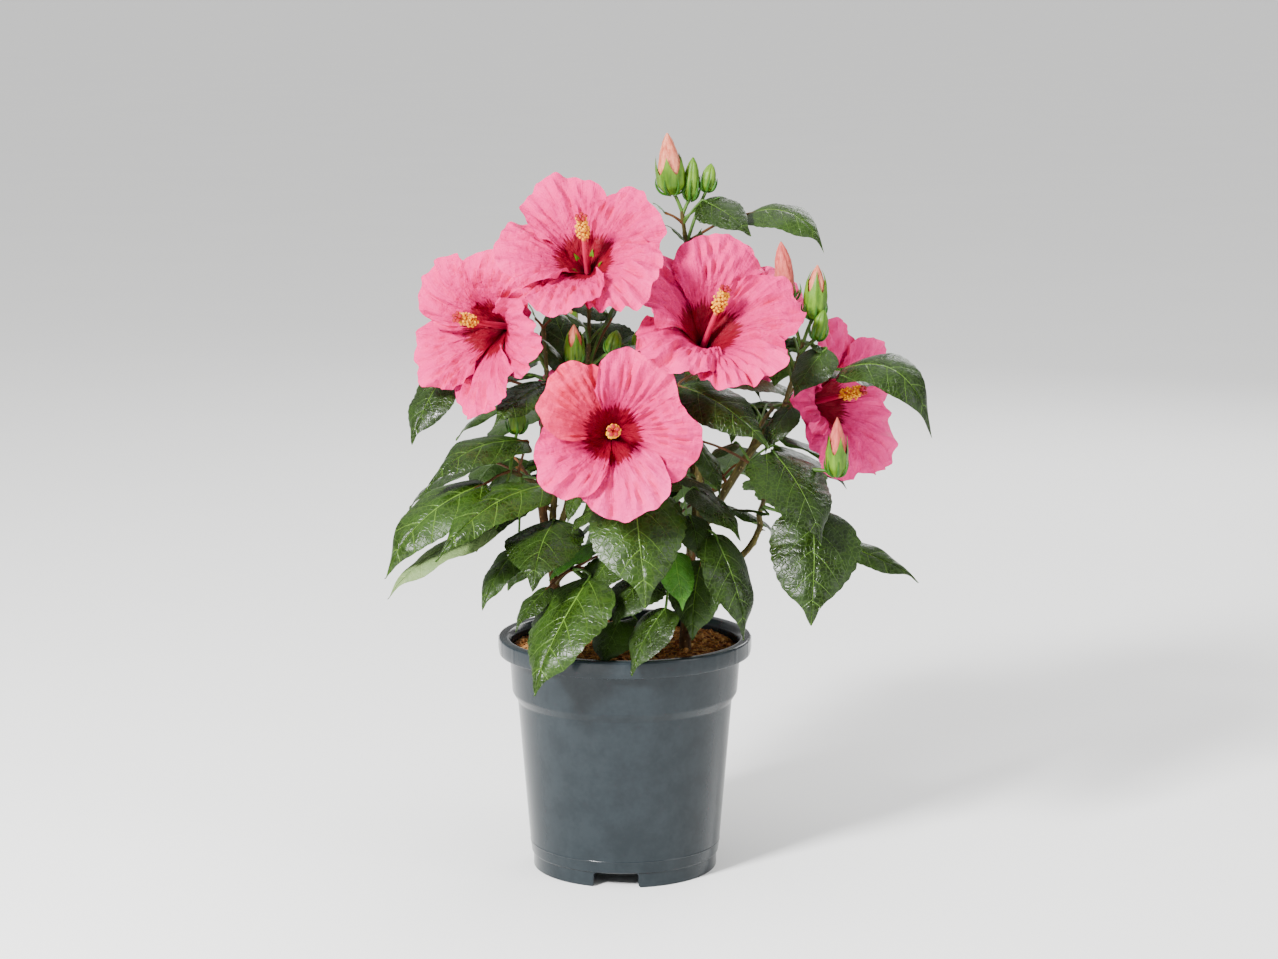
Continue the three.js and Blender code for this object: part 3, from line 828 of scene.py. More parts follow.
@dataclass(frozen=True)
class PetalFinish(Finish):
    """Petal skin: a deep throat that runs out in streaks into a paler blade."""

    pale: str
    body: str
    blush: str
    throat: str
    core: str
    edge: float = 0.37

    def lay(self, shade: Shade, desk: Desk) -> None:
        """Lays out the nodes."""
        broad, _ = shade.streaks(9.0, 1.1)
        mask, fine = shade.streaks(30.0, 1.6)
        share = desk.weighed(broad, 0.3, shade.mottle(26.0), 0.35)
        share = desk.plus_share(share, desk.span(shade.run, 0.66, 1.0), 0.5)
        skin = desk.mix(share, self.body, self.pale)
        warm = desk.swung(shade.run, broad, 0.24)
        dim = desk.weighed(mask, 0.12, desk.span(warm, 0.3, 0.8, 1, 0), 0.25)
        skin = desk.mix(dim, skin, self.blush)
        off = desk.math("ABSOLUTE", desk.minus(fine, 0.5))
        shown = desk.span(shade.run, 0.4, 1.0, 0.5, 0.16)
        veins = desk.times(desk.span(off, 0.0, 0.035, 1, 0), shown)
        skin = desk.mix(veins, skin, self.blush)
        spot = desk.swung(desk.swung(shade.run, mask, 0.1), fine, 0.09)
        throat = desk.span(spot, self.edge - 0.02, self.edge + 0.02, 1, 0)
        skin = desk.mix(throat, skin, self.throat)
        core = desk.span(spot, self.edge - 0.38, self.edge - 0.2, 1, 0)
        shade.set(Base_Color=desk.mix(core, skin, self.core))
        shade.set(Roughness=0.5, Specular_IOR_Level=0.12)
        far = desk.span(shade.run, 0.2, 0.5)
        shade.bump(desk.times(fine, far), 0.8)
        shade.bump(desk.times(broad, far), 1.0)
        shade.bump(desk.noise(desk.vector("MULTIPLY", shade.local, (9.0, 10.0, 1.0)), 1.0, 3.0), 2.6)
        shade.bump(desk.noise(shade.place, 190.0, 4.0), 0.6)


@dataclass(frozen=True)
class SoftFinish(Finish):
    """Plain green or flower parts with streaks along them, such as a calyx, stalk or column."""

    dark: str
    light: str
    roughness: float = 0.5
    across: float = 8.0
    run: float = 3.0
    relief: float = 0.15

    def lay(self, shade: Shade, desk: Desk) -> None:
        """Lays out the nodes."""
        mask, fine = shade.streaks(self.across, self.run)
        share = desk.weighed(mask, 0.65, shade.mottle(90.0), 0.35)
        shade.set(Base_Color=desk.mix(share, self.dark, self.light))
        shade.set(Roughness=self.roughness, Specular_IOR_Level=0.25)
        shade.bump(fine, self.relief)


@dataclass(frozen=True)
class BarkFinish(Finish):
    """Young bark with fine lengthwise cracks and pale pores."""

    dark: str
    light: str
    pore: str
    roughness: float = 0.75

    def lay(self, shade: Shade, desk: Desk) -> None:
        """Lays out the nodes."""
        mask, fine = shade.streaks(9.0, 5.0)
        skin = desk.mix(mask, self.dark, self.light)
        skin = desk.mix(desk.times(shade.mottle(120.0), 0.35), skin, self.dark)
        flat = desk.vector("MULTIPLY", shade.place, (1.0, 1.0, 0.6))
        pores = shade.pores(flat, 330.0, 0.22)
        shade.set(Base_Color=desk.mix(desk.math("MINIMUM", pores, 0.8), skin, self.pore))
        shade.set(Roughness=self.roughness, Specular_IOR_Level=0.2)
        shade.bump(fine, 0.5)
        shade.bump(pores, 0.3)


@dataclass(frozen=True)
class CoirFinish(Finish):
    """Matted coconut fibre: brown strands that lie every way, with dark gaps."""

    dark: str
    light: str
    straw: str

    def lay(self, shade: Shade, desk: Desk) -> None:
        """Lays out the nodes."""
        _, fine = shade.streaks(26.0, 8.0)
        skin = desk.mix(shade.mottle(190.0), self.dark, self.light)
        bits = shade.pores(shade.place, 420.0, 0.4)
        skin = desk.mix(desk.times(bits, 0.5), skin, self.straw)
        shade.set(Base_Color=skin, Roughness=0.95, Specular_IOR_Level=0.1)
        shade.bump(fine, 0.8)
        shade.bump(desk.noise(shade.place, 700.0, 4.0, 0.7), 0.7)


@dataclass(frozen=True)
class PlasticFinish(Finish):
    """Moulded plastic with a satin gloss, faint flow marks and a little dust."""

    dark: str
    light: str
    dust: str
    roughness: float = 0.3
    dust_share: float = 0.06

    def lay(self, shade: Shade, desk: Desk) -> None:
        """Lays out the nodes."""
        flow = desk.noise(desk.vector("MULTIPLY", shade.place, (1.0, 1.0, 0.25)), 22.0, 3.0)
        skin = desk.mix(desk.span(flow, 0.35, 0.65), self.dark, self.light)
        dust = shade.mottle(60.0)
        shown = desk.times(dust, self.dust_share)
        shade.set(Base_Color=desk.mix(shown, skin, self.dust), Specular_IOR_Level=0.22)
        shade.set(Roughness=desk.span(dust, 0, 1, self.roughness - 0.02, self.roughness + 0.02))
        shade.bump(desk.noise(shade.place, 1400.0, 2.0), 0.01)
        shade.bump(flow, 0.06)


class Palette:
    """Every finish on the plant."""

    def __init__(self) -> None:
        """Builds the materials."""
        effects = Effects()
        leaf_tops = (
            LeafFinish("leaf_deep", "#101b04", "#1b2e08", "#56782a", 0.24),
            LeafFinish("leaf_middle", "#172706", "#253d0c", "#60822e", 0.26),
            LeafFinish("leaf_young", "#26500f", "#3a701a", "#78a440", 0.3),
            LeafFinish("leaf_pale", "#4e6636", "#6c8050", "#94a46c", 0.5, 0.7, 0.5),
        )
        self.leaf_tops = [f.make(effects) for f in leaf_tops]
        under = LeafFinish("leaf_underside", "#2f4c18", "#446424", "#708a44", 0.55, 0.7, 0.5)
        self.leaf_under = under.make(effects)
        pinks = (
            PetalFinish("petal_pink", "#e42a7a", "#cc0c68", "#a40646", "#70001a", "#38000a"),
            PetalFinish("petal_coral", "#e63262", "#cc1650", "#a60a3a", "#70001a", "#38000a"),
            # A paler copy of the pink used as painted light: it lightens petals that the lamps leave in
            # shade.
            PetalFinish("petal_pale_painted_light", "#ec3e8a", "#d81674", "#b00c50", "#70001a", "#38000a"),
        )
        self.petals = [f.make(effects) for f in pinks]
        back = PetalFinish("petal_back", "#f04c8e", "#e03078", "#cc2868", "#b82454", "#84943c", 0.2)
        self.petal_back = back.make(effects)
        self.calyx = SoftFinish("calyx_green", "#2c5409", "#668a1e", 0.42, 12.0, 1.6, 0.3).make(effects)
        self.bract = SoftFinish("bract_green", "#1f480f", "#3d7020", 0.42).make(effects)
        furl = (0.5, 16.0, 5.0, 0.35)
        self.furled = SoftFinish("furled_salmon", "#a84834", "#d8866a", *furl).make(effects)
        self.furled_pink = SoftFinish("furled_pink", "#a03434", "#cc6458", *furl).make(effects)
        self.column_foot = SoftFinish("column_red", "#980830", "#c82050", 0.42).make(effects)
        self.column_top = SoftFinish("column_cream", "#cc6038", "#e08c40", 0.45).make(effects)
        self.anther = SoftFinish("anther_gold", "#c88000", "#f8b000", 0.7, 4.0, 4.0, 0.3).make(effects)
        self.stigma = SoftFinish("stigma_red", "#7c0010", "#9c0018", 0.5, 4.0, 4.0, 0.3).make(effects)
        self.stalk = SoftFinish("stalk_green", "#2f4c16", "#50742a", 0.45, 5.0, 4.0, 0.25).make(effects)
        self.stalk_red = SoftFinish("stalk_brown", "#40230f", "#66401e", 0.5, 5.0, 4.0, 0.25).make(effects)
        self.bark = BarkFinish("bark_brown", "#33200f", "#664625", "#a8875c").make(effects)
        self.young_bark = BarkFinish("bark_young", "#3a3014", "#5c5526", "#9a8a58", 0.6).make(effects)
        self.coir = CoirFinish("coir_bed", "#4a2a16", "#8c5a34", "#d0a26c").make(effects)
        self.fibres = [
            CoirFinish("fibre_brown", "#9c5e32", "#d0965c", "#f4cc94").make(effects),
            CoirFinish("fibre_straw", "#b07a3c", "#e0ae6c", "#f0cc90").make(effects),
            CoirFinish("fibre_dark", "#582e14", "#904e24", "#b07c4a").make(effects),
        ]
        self.pot = PlasticFinish("pot_plastic_slate", "#192024", "#1c2327", "#59646a", 0.2).make(effects)


# Pot and growing mix


@dataclass(frozen=True)
class PotSizes:
    """The pot's radii and heights."""

    height: float = 176.5
    rim_radius: float = 95.0
    rim_band: float = 13.0
    rim_lip: float = 7.0
    collar_top: float = 86.6
    collar_foot: float = 84.5
    collar_foot_z: float = 136.0
    body_top: float = 80.5
    body_top_z: float = 128.0
    body_foot: float = 70.8
    foot_radius: float = 69.2
    foot_height: float = 10.9
    foot_wall: float = 2.6
    wall: float = 2.0
    floor: float = 2.5
    notch_width: float = 33.0
    notches: int = 3
    front_notch: float = -95.4
    line_z: float = 20.0
    segments: int = 360


class Pot:
    """The nursery pot: one turned wall with a rolled rim, a collar and a notched ring foot."""

    RIB_STEP = 15
    RIB_HEIGHT = 0.28
    ROW_STEP = 12

    def __init__(self, palette: Palette) -> None:
        """Keeps the finish and the sizes."""
        self.sizes = PotSizes()
        self.palette = palette

    def outline(self) -> list[Spot]:
        """The wall's section from the axis round to the axis, each corner with its rounding."""
        s = self.sizes
        rim_foot = s.height - s.rim_band
        floor = s.foot_height + 0.6
        slope = (s.body_top - s.body_foot) / (s.body_top_z - floor)
        line = s.body_foot + slope * (s.line_z - floor)
        return [
            (0, floor, 0),
            (s.foot_radius - s.foot_wall, floor, 0.6),
            (s.foot_radius - s.foot_wall, 0, 0.6),
            (s.foot_radius, 0, 0.9),
            (s.foot_radius, s.foot_height, 0.5),
            (s.body_foot - 0.2, floor, 0.8),
            (line - 0.05, s.line_z - 0.5, 0.2),
            (line + 0.4, s.line_z, 0.3),
            (line + 0.12, s.line_z + 0.5, 0.2),
            (s.body_top, s.body_top_z, 0.9),
            (s.collar_foot, s.collar_foot_z - 1.5, 1.3),
            (s.collar_top, rim_foot, 0.8),
            (s.rim_radius - 0.4, rim_foot, 2.0),
            (s.rim_radius, rim_foot + 4, 1.0),
            (s.rim_radius, s.height, 1.8),
            (s.rim_radius - s.rim_lip, s.height, 1.4),
            (s.collar_top - s.wall, s.height - 4, 2.0),
            (s.collar_top - s.wall, rim_foot, 1.0),
            (s.collar_foot - s.wall, s.collar_foot_z, 2.0),
            (s.body_top - s.wall, s.body_top_z, 2.0),
            (s.body_foot - s.wall, floor + s.floor, 2.0),
            (0, floor + s.floor, 0),
        ]

    @staticmethod
    def rounded(corners: list[Spot], steps: int = 5) -> Array:
        """A section with its corners eased.

        Args:
            corners: Radius, height and rounding of each.
            steps: How many points an eased corner gets.

        Returns:
            Radius and height, one point a row.
        """
        spots = [np.array(c[:2], float) for c in corners]
        line = [spots[0]]
        for before, here, after, (_, _, ease) in zip(spots, spots[1:], spots[2:], corners[1:-1]):
            back, on = before - here, after - here
            cut = min(ease, np.linalg.norm(back) * 0.48, np.linalg.norm(on) * 0.48)
            a, b = here + unit(back) * cut, here + unit(on) * cut
            for t in np.linspace(0, 1, steps):
                line.append(a * (1 - t) ** 2 + here * 2 * t * (1 - t) + b * t**2)
        line.append(spots[-1])
        return np.array(line)

    def build(self) -> Object:
        """Makes the pot."""
        s = self.sizes
        line = self.rounded(self.outline())
        rows = [line[0]]
        for a, b, reach in zip(line[:-1], line[1:], strides(line)):
            parts = max(1, round(reach / self.ROW_STEP))
            rows += [a + (b - a) * k / parts for k in range(1, parts + 1)]
        section = np.array(rows)
        radius = np.repeat(section[:, :1], s.segments, axis=1)
        height = section[:, 1]
        band = (section[:, 0] > s.rim_radius - 0.6) & (height > s.height - s.rim_band + 1)
        ribs = np.where(np.arange(s.segments) % self.RIB_STEP == 0, self.RIB_HEIGHT, 0.0)
        radius[band] += ribs[None, :] - self.RIB_HEIGHT
        piece = Piece("pot_wall")
        ids = piece.add_points(spun(radius, circle(s.segments), height[:, None]))
        ids[0] = ids[0, 0]
        ids[-1] = ids[-1, 0]
        piece.add_round(ids, gone_along(section) / RUN, self.palette.pot)
        made = piece.build(Slot.POT, "pot")
        self.cut_notches(made)
        return made

    def cut_notches(self, made: Object) -> None:
        """Cuts the drainage notches through the ring foot, with eased feet."""
        s = self.sizes
        half, ease = s.notch_width / 2, 3.0
        turns = np.radians(np.linspace(0, 90, 6))
        flare = [(half + ease * (1 - math.sin(a)), ease * (1 - math.cos(a))) for a in turns]
        side = [(half + ease, -3.0), *flare, (half, s.foot_height - 1.5), (half - 1.5, s.foot_height)]
        outline = [(-x, z) for x, z in side] + [(x, z) for x, z in reversed(side)]
        cutter = bpy.data.meshes.new("notch_cutter")
        shape = bmesh.new()
        for i in range(s.notches):
            heading = math.radians(s.front_notch + 360 / s.notches * i)
            out = np.array([math.cos(heading), math.sin(heading), 0])
            across = np.array([-out[1], out[0], 0])
            loops = []
            for reach in (s.foot_radius - 12, s.foot_radius + 8):
                spots = [out * reach + across * x + np.array([0, 0, z]) for x, z in outline]
                loops.append([shape.verts.new(p * MM + PACKED.origin) for p in spots])
            shape.faces.new(loops[0])
            shape.faces.new(loops[1][::-1])
            for k in range(len(outline)):
                j = (k + 1) % len(outline)
                shape.faces.new([loops[0][k], loops[1][k], loops[1][j], loops[0][j]])
        bmesh.ops.recalc_face_normals(shape, faces=shape.faces)
        shape.to_mesh(cutter)
        shape.free()
        tool = placed("notch_cutter", cutter)
        cut = made.modifiers.new("notches", "BOOLEAN")
        cut.operation = "DIFFERENCE"
        cut.solver = "EXACT"
        cut.object = tool
        graph = bpy.context.evaluated_depsgraph_get()
        carved = bpy.data.meshes.new_from_object(made.evaluated_get(graph))
        made.modifiers.clear()
        made.data = carved
        bpy.data.objects.remove(tool)


@dataclass(frozen=True)
class MixSizes:
    """The growing mix's shape and how much lies loose on it."""

    top: float = 171.0
    edge: float = 169.0
    flat_radius: float = 62.0
    radius: float = 84.0
    foot_radius: float = 68.4
    floor: float = 14.3
    strands: int = 2100
    lumps: int = 420


class GrowingMix:
    """Coir: a rough bed with loose strands and crumbs over it."""

    WAVES = ((0.09, 1.0), (0.21, 0.8), (0.47, 0.6), (1.1, 0.4))
    SINK = 1.6

    def __init__(self, palette: Palette) -> None:
        """Keeps the finishes and the sizes."""
        self.sizes = MixSizes()
        self.palette = palette
        self.random = np.random.default_rng(5)

    def height(self, x: Array, y: Array) -> Array:
        """The bed's height at a place."""
        s = self.sizes
        away = np.hypot(x, y)
        mound = s.edge + (s.top - s.edge) * smooth(s.radius, s.flat_radius, away)
        rough = 0.0
        for wave, size in self.WAVES:
            one, other = wave * (x + 0.6 * y) + 3 * size, wave * (y - 0.4 * x) + 21 * wave
            rough = rough + size * np.sin(one) * np.cos(other)
        return mound - self.SINK + rough

    def build(self) -> None:
        """Makes the bed, the strands and the crumbs."""
        s = self.sizes
        bed = Piece("coir_bed")
        reach = np.linspace(0.4, s.radius, 46)
        angle = circle(150)
        x, y = reach[:, None] * np.cos(angle), reach[:, None] * np.sin(angle)
        grain = self.random.normal(0, 0.45, x.shape) * smooth(0, 8, reach)[:, None]
        top = np.stack([x, y, self.height(x, y) + grain], axis=2)
        wall = ((s.radius - 0.6, 150.0), (80.0, 130.0), (s.foot_radius, s.floor))
        rings = np.concatenate([top, [spun(radius, angle, z) for radius, z in wall]])
        bed.closed_tube(rings, self.palette.coir, flat=True)
        bed.build(Slot.COIR, "growing_mix")
        self.scatter_strands()
        self.scatter_lumps()

    def scatter_strands(self) -> None:
        """Loose fibres that lie on the bed."""
        s, random = self.sizes, self.random
        piece = Piece("coir_strands")
        for _ in range(s.strands):
            away = (s.radius - 5) * math.sqrt(random.random())
            turn, heading = random.uniform(0, 2 * math.pi, 2)
            length = random.uniform(4, 15)
            bend = random.uniform(-1.4, 1.4)
            t = np.linspace(-0.5, 0.5, 5)
            way = heading + bend * t
            x = away * math.cos(turn) + length * t * np.cos(way)
            y = away * math.sin(turn) + length * t * np.sin(way)
            far = np.hypot(x, y)
            pull = np.minimum(1, (s.radius - 1.5) / np.maximum(far, 1))
            x, y = x * pull, y * pull
            z = self.height(x, y) + 0.3 + random.uniform(0, 1.1) + random.uniform(-1, 1) * t * 2
            thick = random.uniform(0.2, 0.55)
            radii = thick * np.array([0.5, 1, 1, 0.9, 0.4])
            rings = lay_rings(np.stack([x, y, z], axis=1), radii, 3)
            pick = random.choice(3, p=[0.35, 0.35, 0.3])
            piece.closed_tube(rings, self.palette.fibres[pick])
        piece.build(Slot.COIR)

    def scatter_lumps(self) -> None:
        """Crumbs and chips of husk."""
        s, random = self.sizes, self.random
        piece = Piece("coir_crumbs")
        for _ in range(s.lumps):
            away = (s.radius - 4) * math.sqrt(random.random())
            turn = random.uniform(0, 2 * math.pi)
            x, y = away * math.cos(turn), away * math.sin(turn)
            size = random.uniform(0.9, 3.2)
            middle = np.array([x, y, float(self.height(np.array(x), np.array(y))) + size * 0.25])
            axis = unit(random.normal(0, 1, 3) * np.array([1, 1, 0.35]))
            line = middle + axis * size * np.array([-0.9, -0.5, 0, 0.5, 0.9])[:, None]
            rough = random.uniform(0.7, 1.25, (5, 6)) * size * 0.62
            rings = lay_rings(line, rough * np.array([0.4, 0.85, 1, 0.85, 0.4])[:, None], 6)
            pick = random.choice(3, p=[0.5, 0.1, 0.4])
            piece.closed_tube(rings, self.palette.fibres[pick])
        piece.build(Slot.COIR)


# Stems and boughs


@dataclass(frozen=True)
class LimbPlan:
    """A stem or bough: its points from foot to tip and its radius at foot, middle and tip."""

    points: tuple[Spot, ...]
    radii: Spot
    on: str = ""


LIMBS = {
    "stem_left": LimbPlan(
        ((-44, 8, 171.3), (-48, 7, 190), (-54, 6, 223), (-63, 14, 284), (-59, 9, 345)), (4.8, 3.7, 3)
    ),
    "stem_right": LimbPlan(
        ((45, -26, 171.3), (46, -17, 190), (50, 5, 240), (57, 14, 262)), (4.8, 4.1, 3.7)
    ),
    "bough_top": LimbPlan(
        ((58, 15, 263), (56, 17, 300), (51, 15, 343), (47, 10, 372), (48, 4, 430)),
        (3.3, 3, 2.5),
        "stem_right",
    ),
    "bough_right": LimbPlan(
        ((62, 8, 242), (90, 0, 310), (107, -20, 336), (116, -34, 352)), (3.2, 2.9, 2.4), "stem_right"
    ),
    "bough_low_right": LimbPlan(
        ((53, -10, 208), (87, 0, 236), (100, 0, 256), (100, -2, 268)), (2.6, 2.4, 2.1), "stem_right"
    ),
    "bough_middle": LimbPlan(
        ((-50, 9, 240), (-43, 10, 273), (-37, 11, 310), (-30, 10, 352)), (2.8, 2.5, 2.2), "stem_left"
    ),
    "bough_back_left": LimbPlan(
        ((-54, 13, 236), (-54, 48, 270), (-48, 74, 310)), (2.9, 2.6, 2.2), "stem_left"
    ),
    "bough_back_right": LimbPlan(
        ((50, 6, 230), (54, 60, 270), (48, 84, 318)), (3.1, 2.8, 2.3), "stem_right"
    ),
}


class Limbs:
    """Woody stems and boughs with leaf scars, stubs and bark relief."""

    SINK = 9.0
    NODE_STEP = 21.0
    SIDES = 20
    FLARE = 2.2

    def __init__(self, palette: Palette) -> None:
        """Keeps the finishes."""
        self.palette = palette
        self.axes = {name: np.array(plan.points, float) for name, plan in LIMBS.items()}

    def build(self) -> None:
        """Makes one piece for each stem or bough."""
        for number, (name, plan) in enumerate(LIMBS.items()):
            self.limb(name, plan, np.random.default_rng(40 + number))

    def limb(self, name: str, plan: LimbPlan, random: Random) -> None:
        """Makes one stem or bough.

        Args:
            name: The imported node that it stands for.
            plan: Its points and radii.
            random: The source of its small differences.
        """
        points = self.axes[name].copy()
        if plan.on:
            points[0] = nearest_on(self.axes[plan.on], points[0])
        else:
            points = np.vstack([points[0] + [0, 0, -self.SINK], points])
        length = strides(points).sum()
        line = flowing_line(points, max(12, int(length / 1.4)))
        gone = np.linspace(0, length, len(line))
        t = gone / length
        first, middle, last = plan.radii
        radii = np.where(t < 0.5, first + (middle - first) * 2 * t, middle + (last - middle) * (2 * t - 1))
        if not plan.on:
            radii = radii + self.FLARE * np.exp(-np.maximum(gone - self.SINK, 0) / 6)
        angle = circle(self.SIDES)[None, :]
        relief = 1 + random.normal(0, 0.022, (len(line), self.SIDES))
        for fold in (2, 3, 5):
            phase = random.uniform(0, 6) + 0.05 * gone[:, None] * random.uniform(-1, 1)
            relief = relief + 0.028 * np.sin(fold * angle + phase)
        for place in np.arange(14 + random.uniform(0, 8), length - 5, self.NODE_STEP):
            aside = np.angle(np.exp(1j * (angle - random.uniform(0, 6.3))))
            relief = relief + bell(gone[:, None], place, 1.9) * (0.09 + 0.3 * bell(aside, 0, 0.8))
        rings = lay_rings(line, radii[:, None] * relief, self.SIDES)
        bark = self.palette.young_bark if plan.on else self.palette.bark
        piece = Piece(f"{name}_bark")
        piece.closed_tube(rings, bark, SHORT_RUN)
        self.add_stubs(piece, line, radii, random, 4 if plan.on else 8, bark)
        piece.build(Slot.GREEN_BARK if plan.on else Slot.BARK, name)

    def add_stubs(
        self, piece: Piece, line: Array, radii: Array, random: Random, count: int, bark: Material
    ) -> None:
        """Adds the short pointed stubs that shed shoots leave.

        Args:
            piece: Where they go.
            line: The limb's own line.
            radii: The limb's radius along it.
            random: The source of their places.
            count: How many there are.
            bark: Their finish.
        """
        for spot in np.linspace(0.2, 0.92, count):
            i = int(spot * (len(line) - 1))
            way = unit(line[min(i + 1, len(line) - 1)] - line[i - 1])
            out = unit(np.cross(way, random.normal(0, 1, 3)))
            foot = line[i] + out * radii[i] * 0.5
            tip = line[i] + out * (radii[i] + random.uniform(1.2, 2.6)) + way * random.uniform(0.8, 2.2)
            thick = radii[i] * np.array([0.42, 0.36, 0.28, 0.2, 0.1])
            piece.strand([foot, (foot + tip) / 2 + way * 0.4, tip], thick, 7, bark, SHORT_RUN)


# Foliage


@dataclass(frozen=True)
class Shoot:
    """Leaves that a seeded rule sets round a twig.

    They start at the share `start` of the twig, and head `turn` on average, spread over about
    `sweep`. `size` is a share of the usual size, and `droop` how far each blade hangs at least.
    """

    seed: int
    count: int
    turn: float
    start: float
    sweep: float
    size: float
    droop: float = 20.0

    def leaves(self) -> list[Record]:
        """The records of the leaves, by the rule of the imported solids."""
        following = seeded(self.seed)
        made = []
        for i in range(self.count):
            place = self.start + ((0.98 - self.start) * i) / self.count
            step = (((i * 144) % 360) / 360 - 0.4) * self.sweep
            heading = self.turn + step + 24 * (following() - 0.5)
            length = self.size * (96 - 30 * place) * (0.82 + 0.28 * following())
            width = length * (0.6 + 0.12 * following())
            pitch = -self.droop - 28 * following()
            lift = 18 + 22 * following()
            made.append((place, 0.42 * length, heading, lift, length, width, heading, pitch))
        return made


@dataclass(frozen=True)
class Bloom:
    """An open flower.

    `at` is the share of the twig where its stalk leaves, and `stalk` the stalk's length, heading
    and pitch. `face` and `column` are the heading and pitch of the flower and of its column.
    `roll` turns the petals round, `depth` is the throat's depth as a share of `radius`, and
    `tints` picks a pink for each petal.
    """

    at: float
    stalk: Spot
    face: Pair
    column: Pair
    radius: float
    roll: float
    depth: float = 0.58
    tints: tuple[int, ...] = (0, 0, 0, 0, 0)


@dataclass(frozen=True)
class BudPlan:
    """A bud, placed like a flower, with the share of its length that the calyx covers."""

    at: float
    stalk: Spot
    face: Pair
    length: float
    radius: float
    calyx: float = 1.0
    pink: bool = False


@dataclass(frozen=True)
class MassPlan:
    """A mass of foliage on its own twig, which grows from the limb `on`.

    Each leaf is: place on the twig, stalk length, heading and pitch, then blade length, width,
    heading, pitch and, where it is turned, its roll and how much it arches. `tints` gives each
    of these leaves a letter: deep, middle, young or pale.
    """

    on: str
    twig: tuple[Spot, ...]
    leaves: tuple[Record, ...] = ()
    shoot: Shoot | None = None
    blooms: tuple[Bloom, ...] = ()
    buds: tuple[BudPlan, ...] = ()
    tints: str = ""


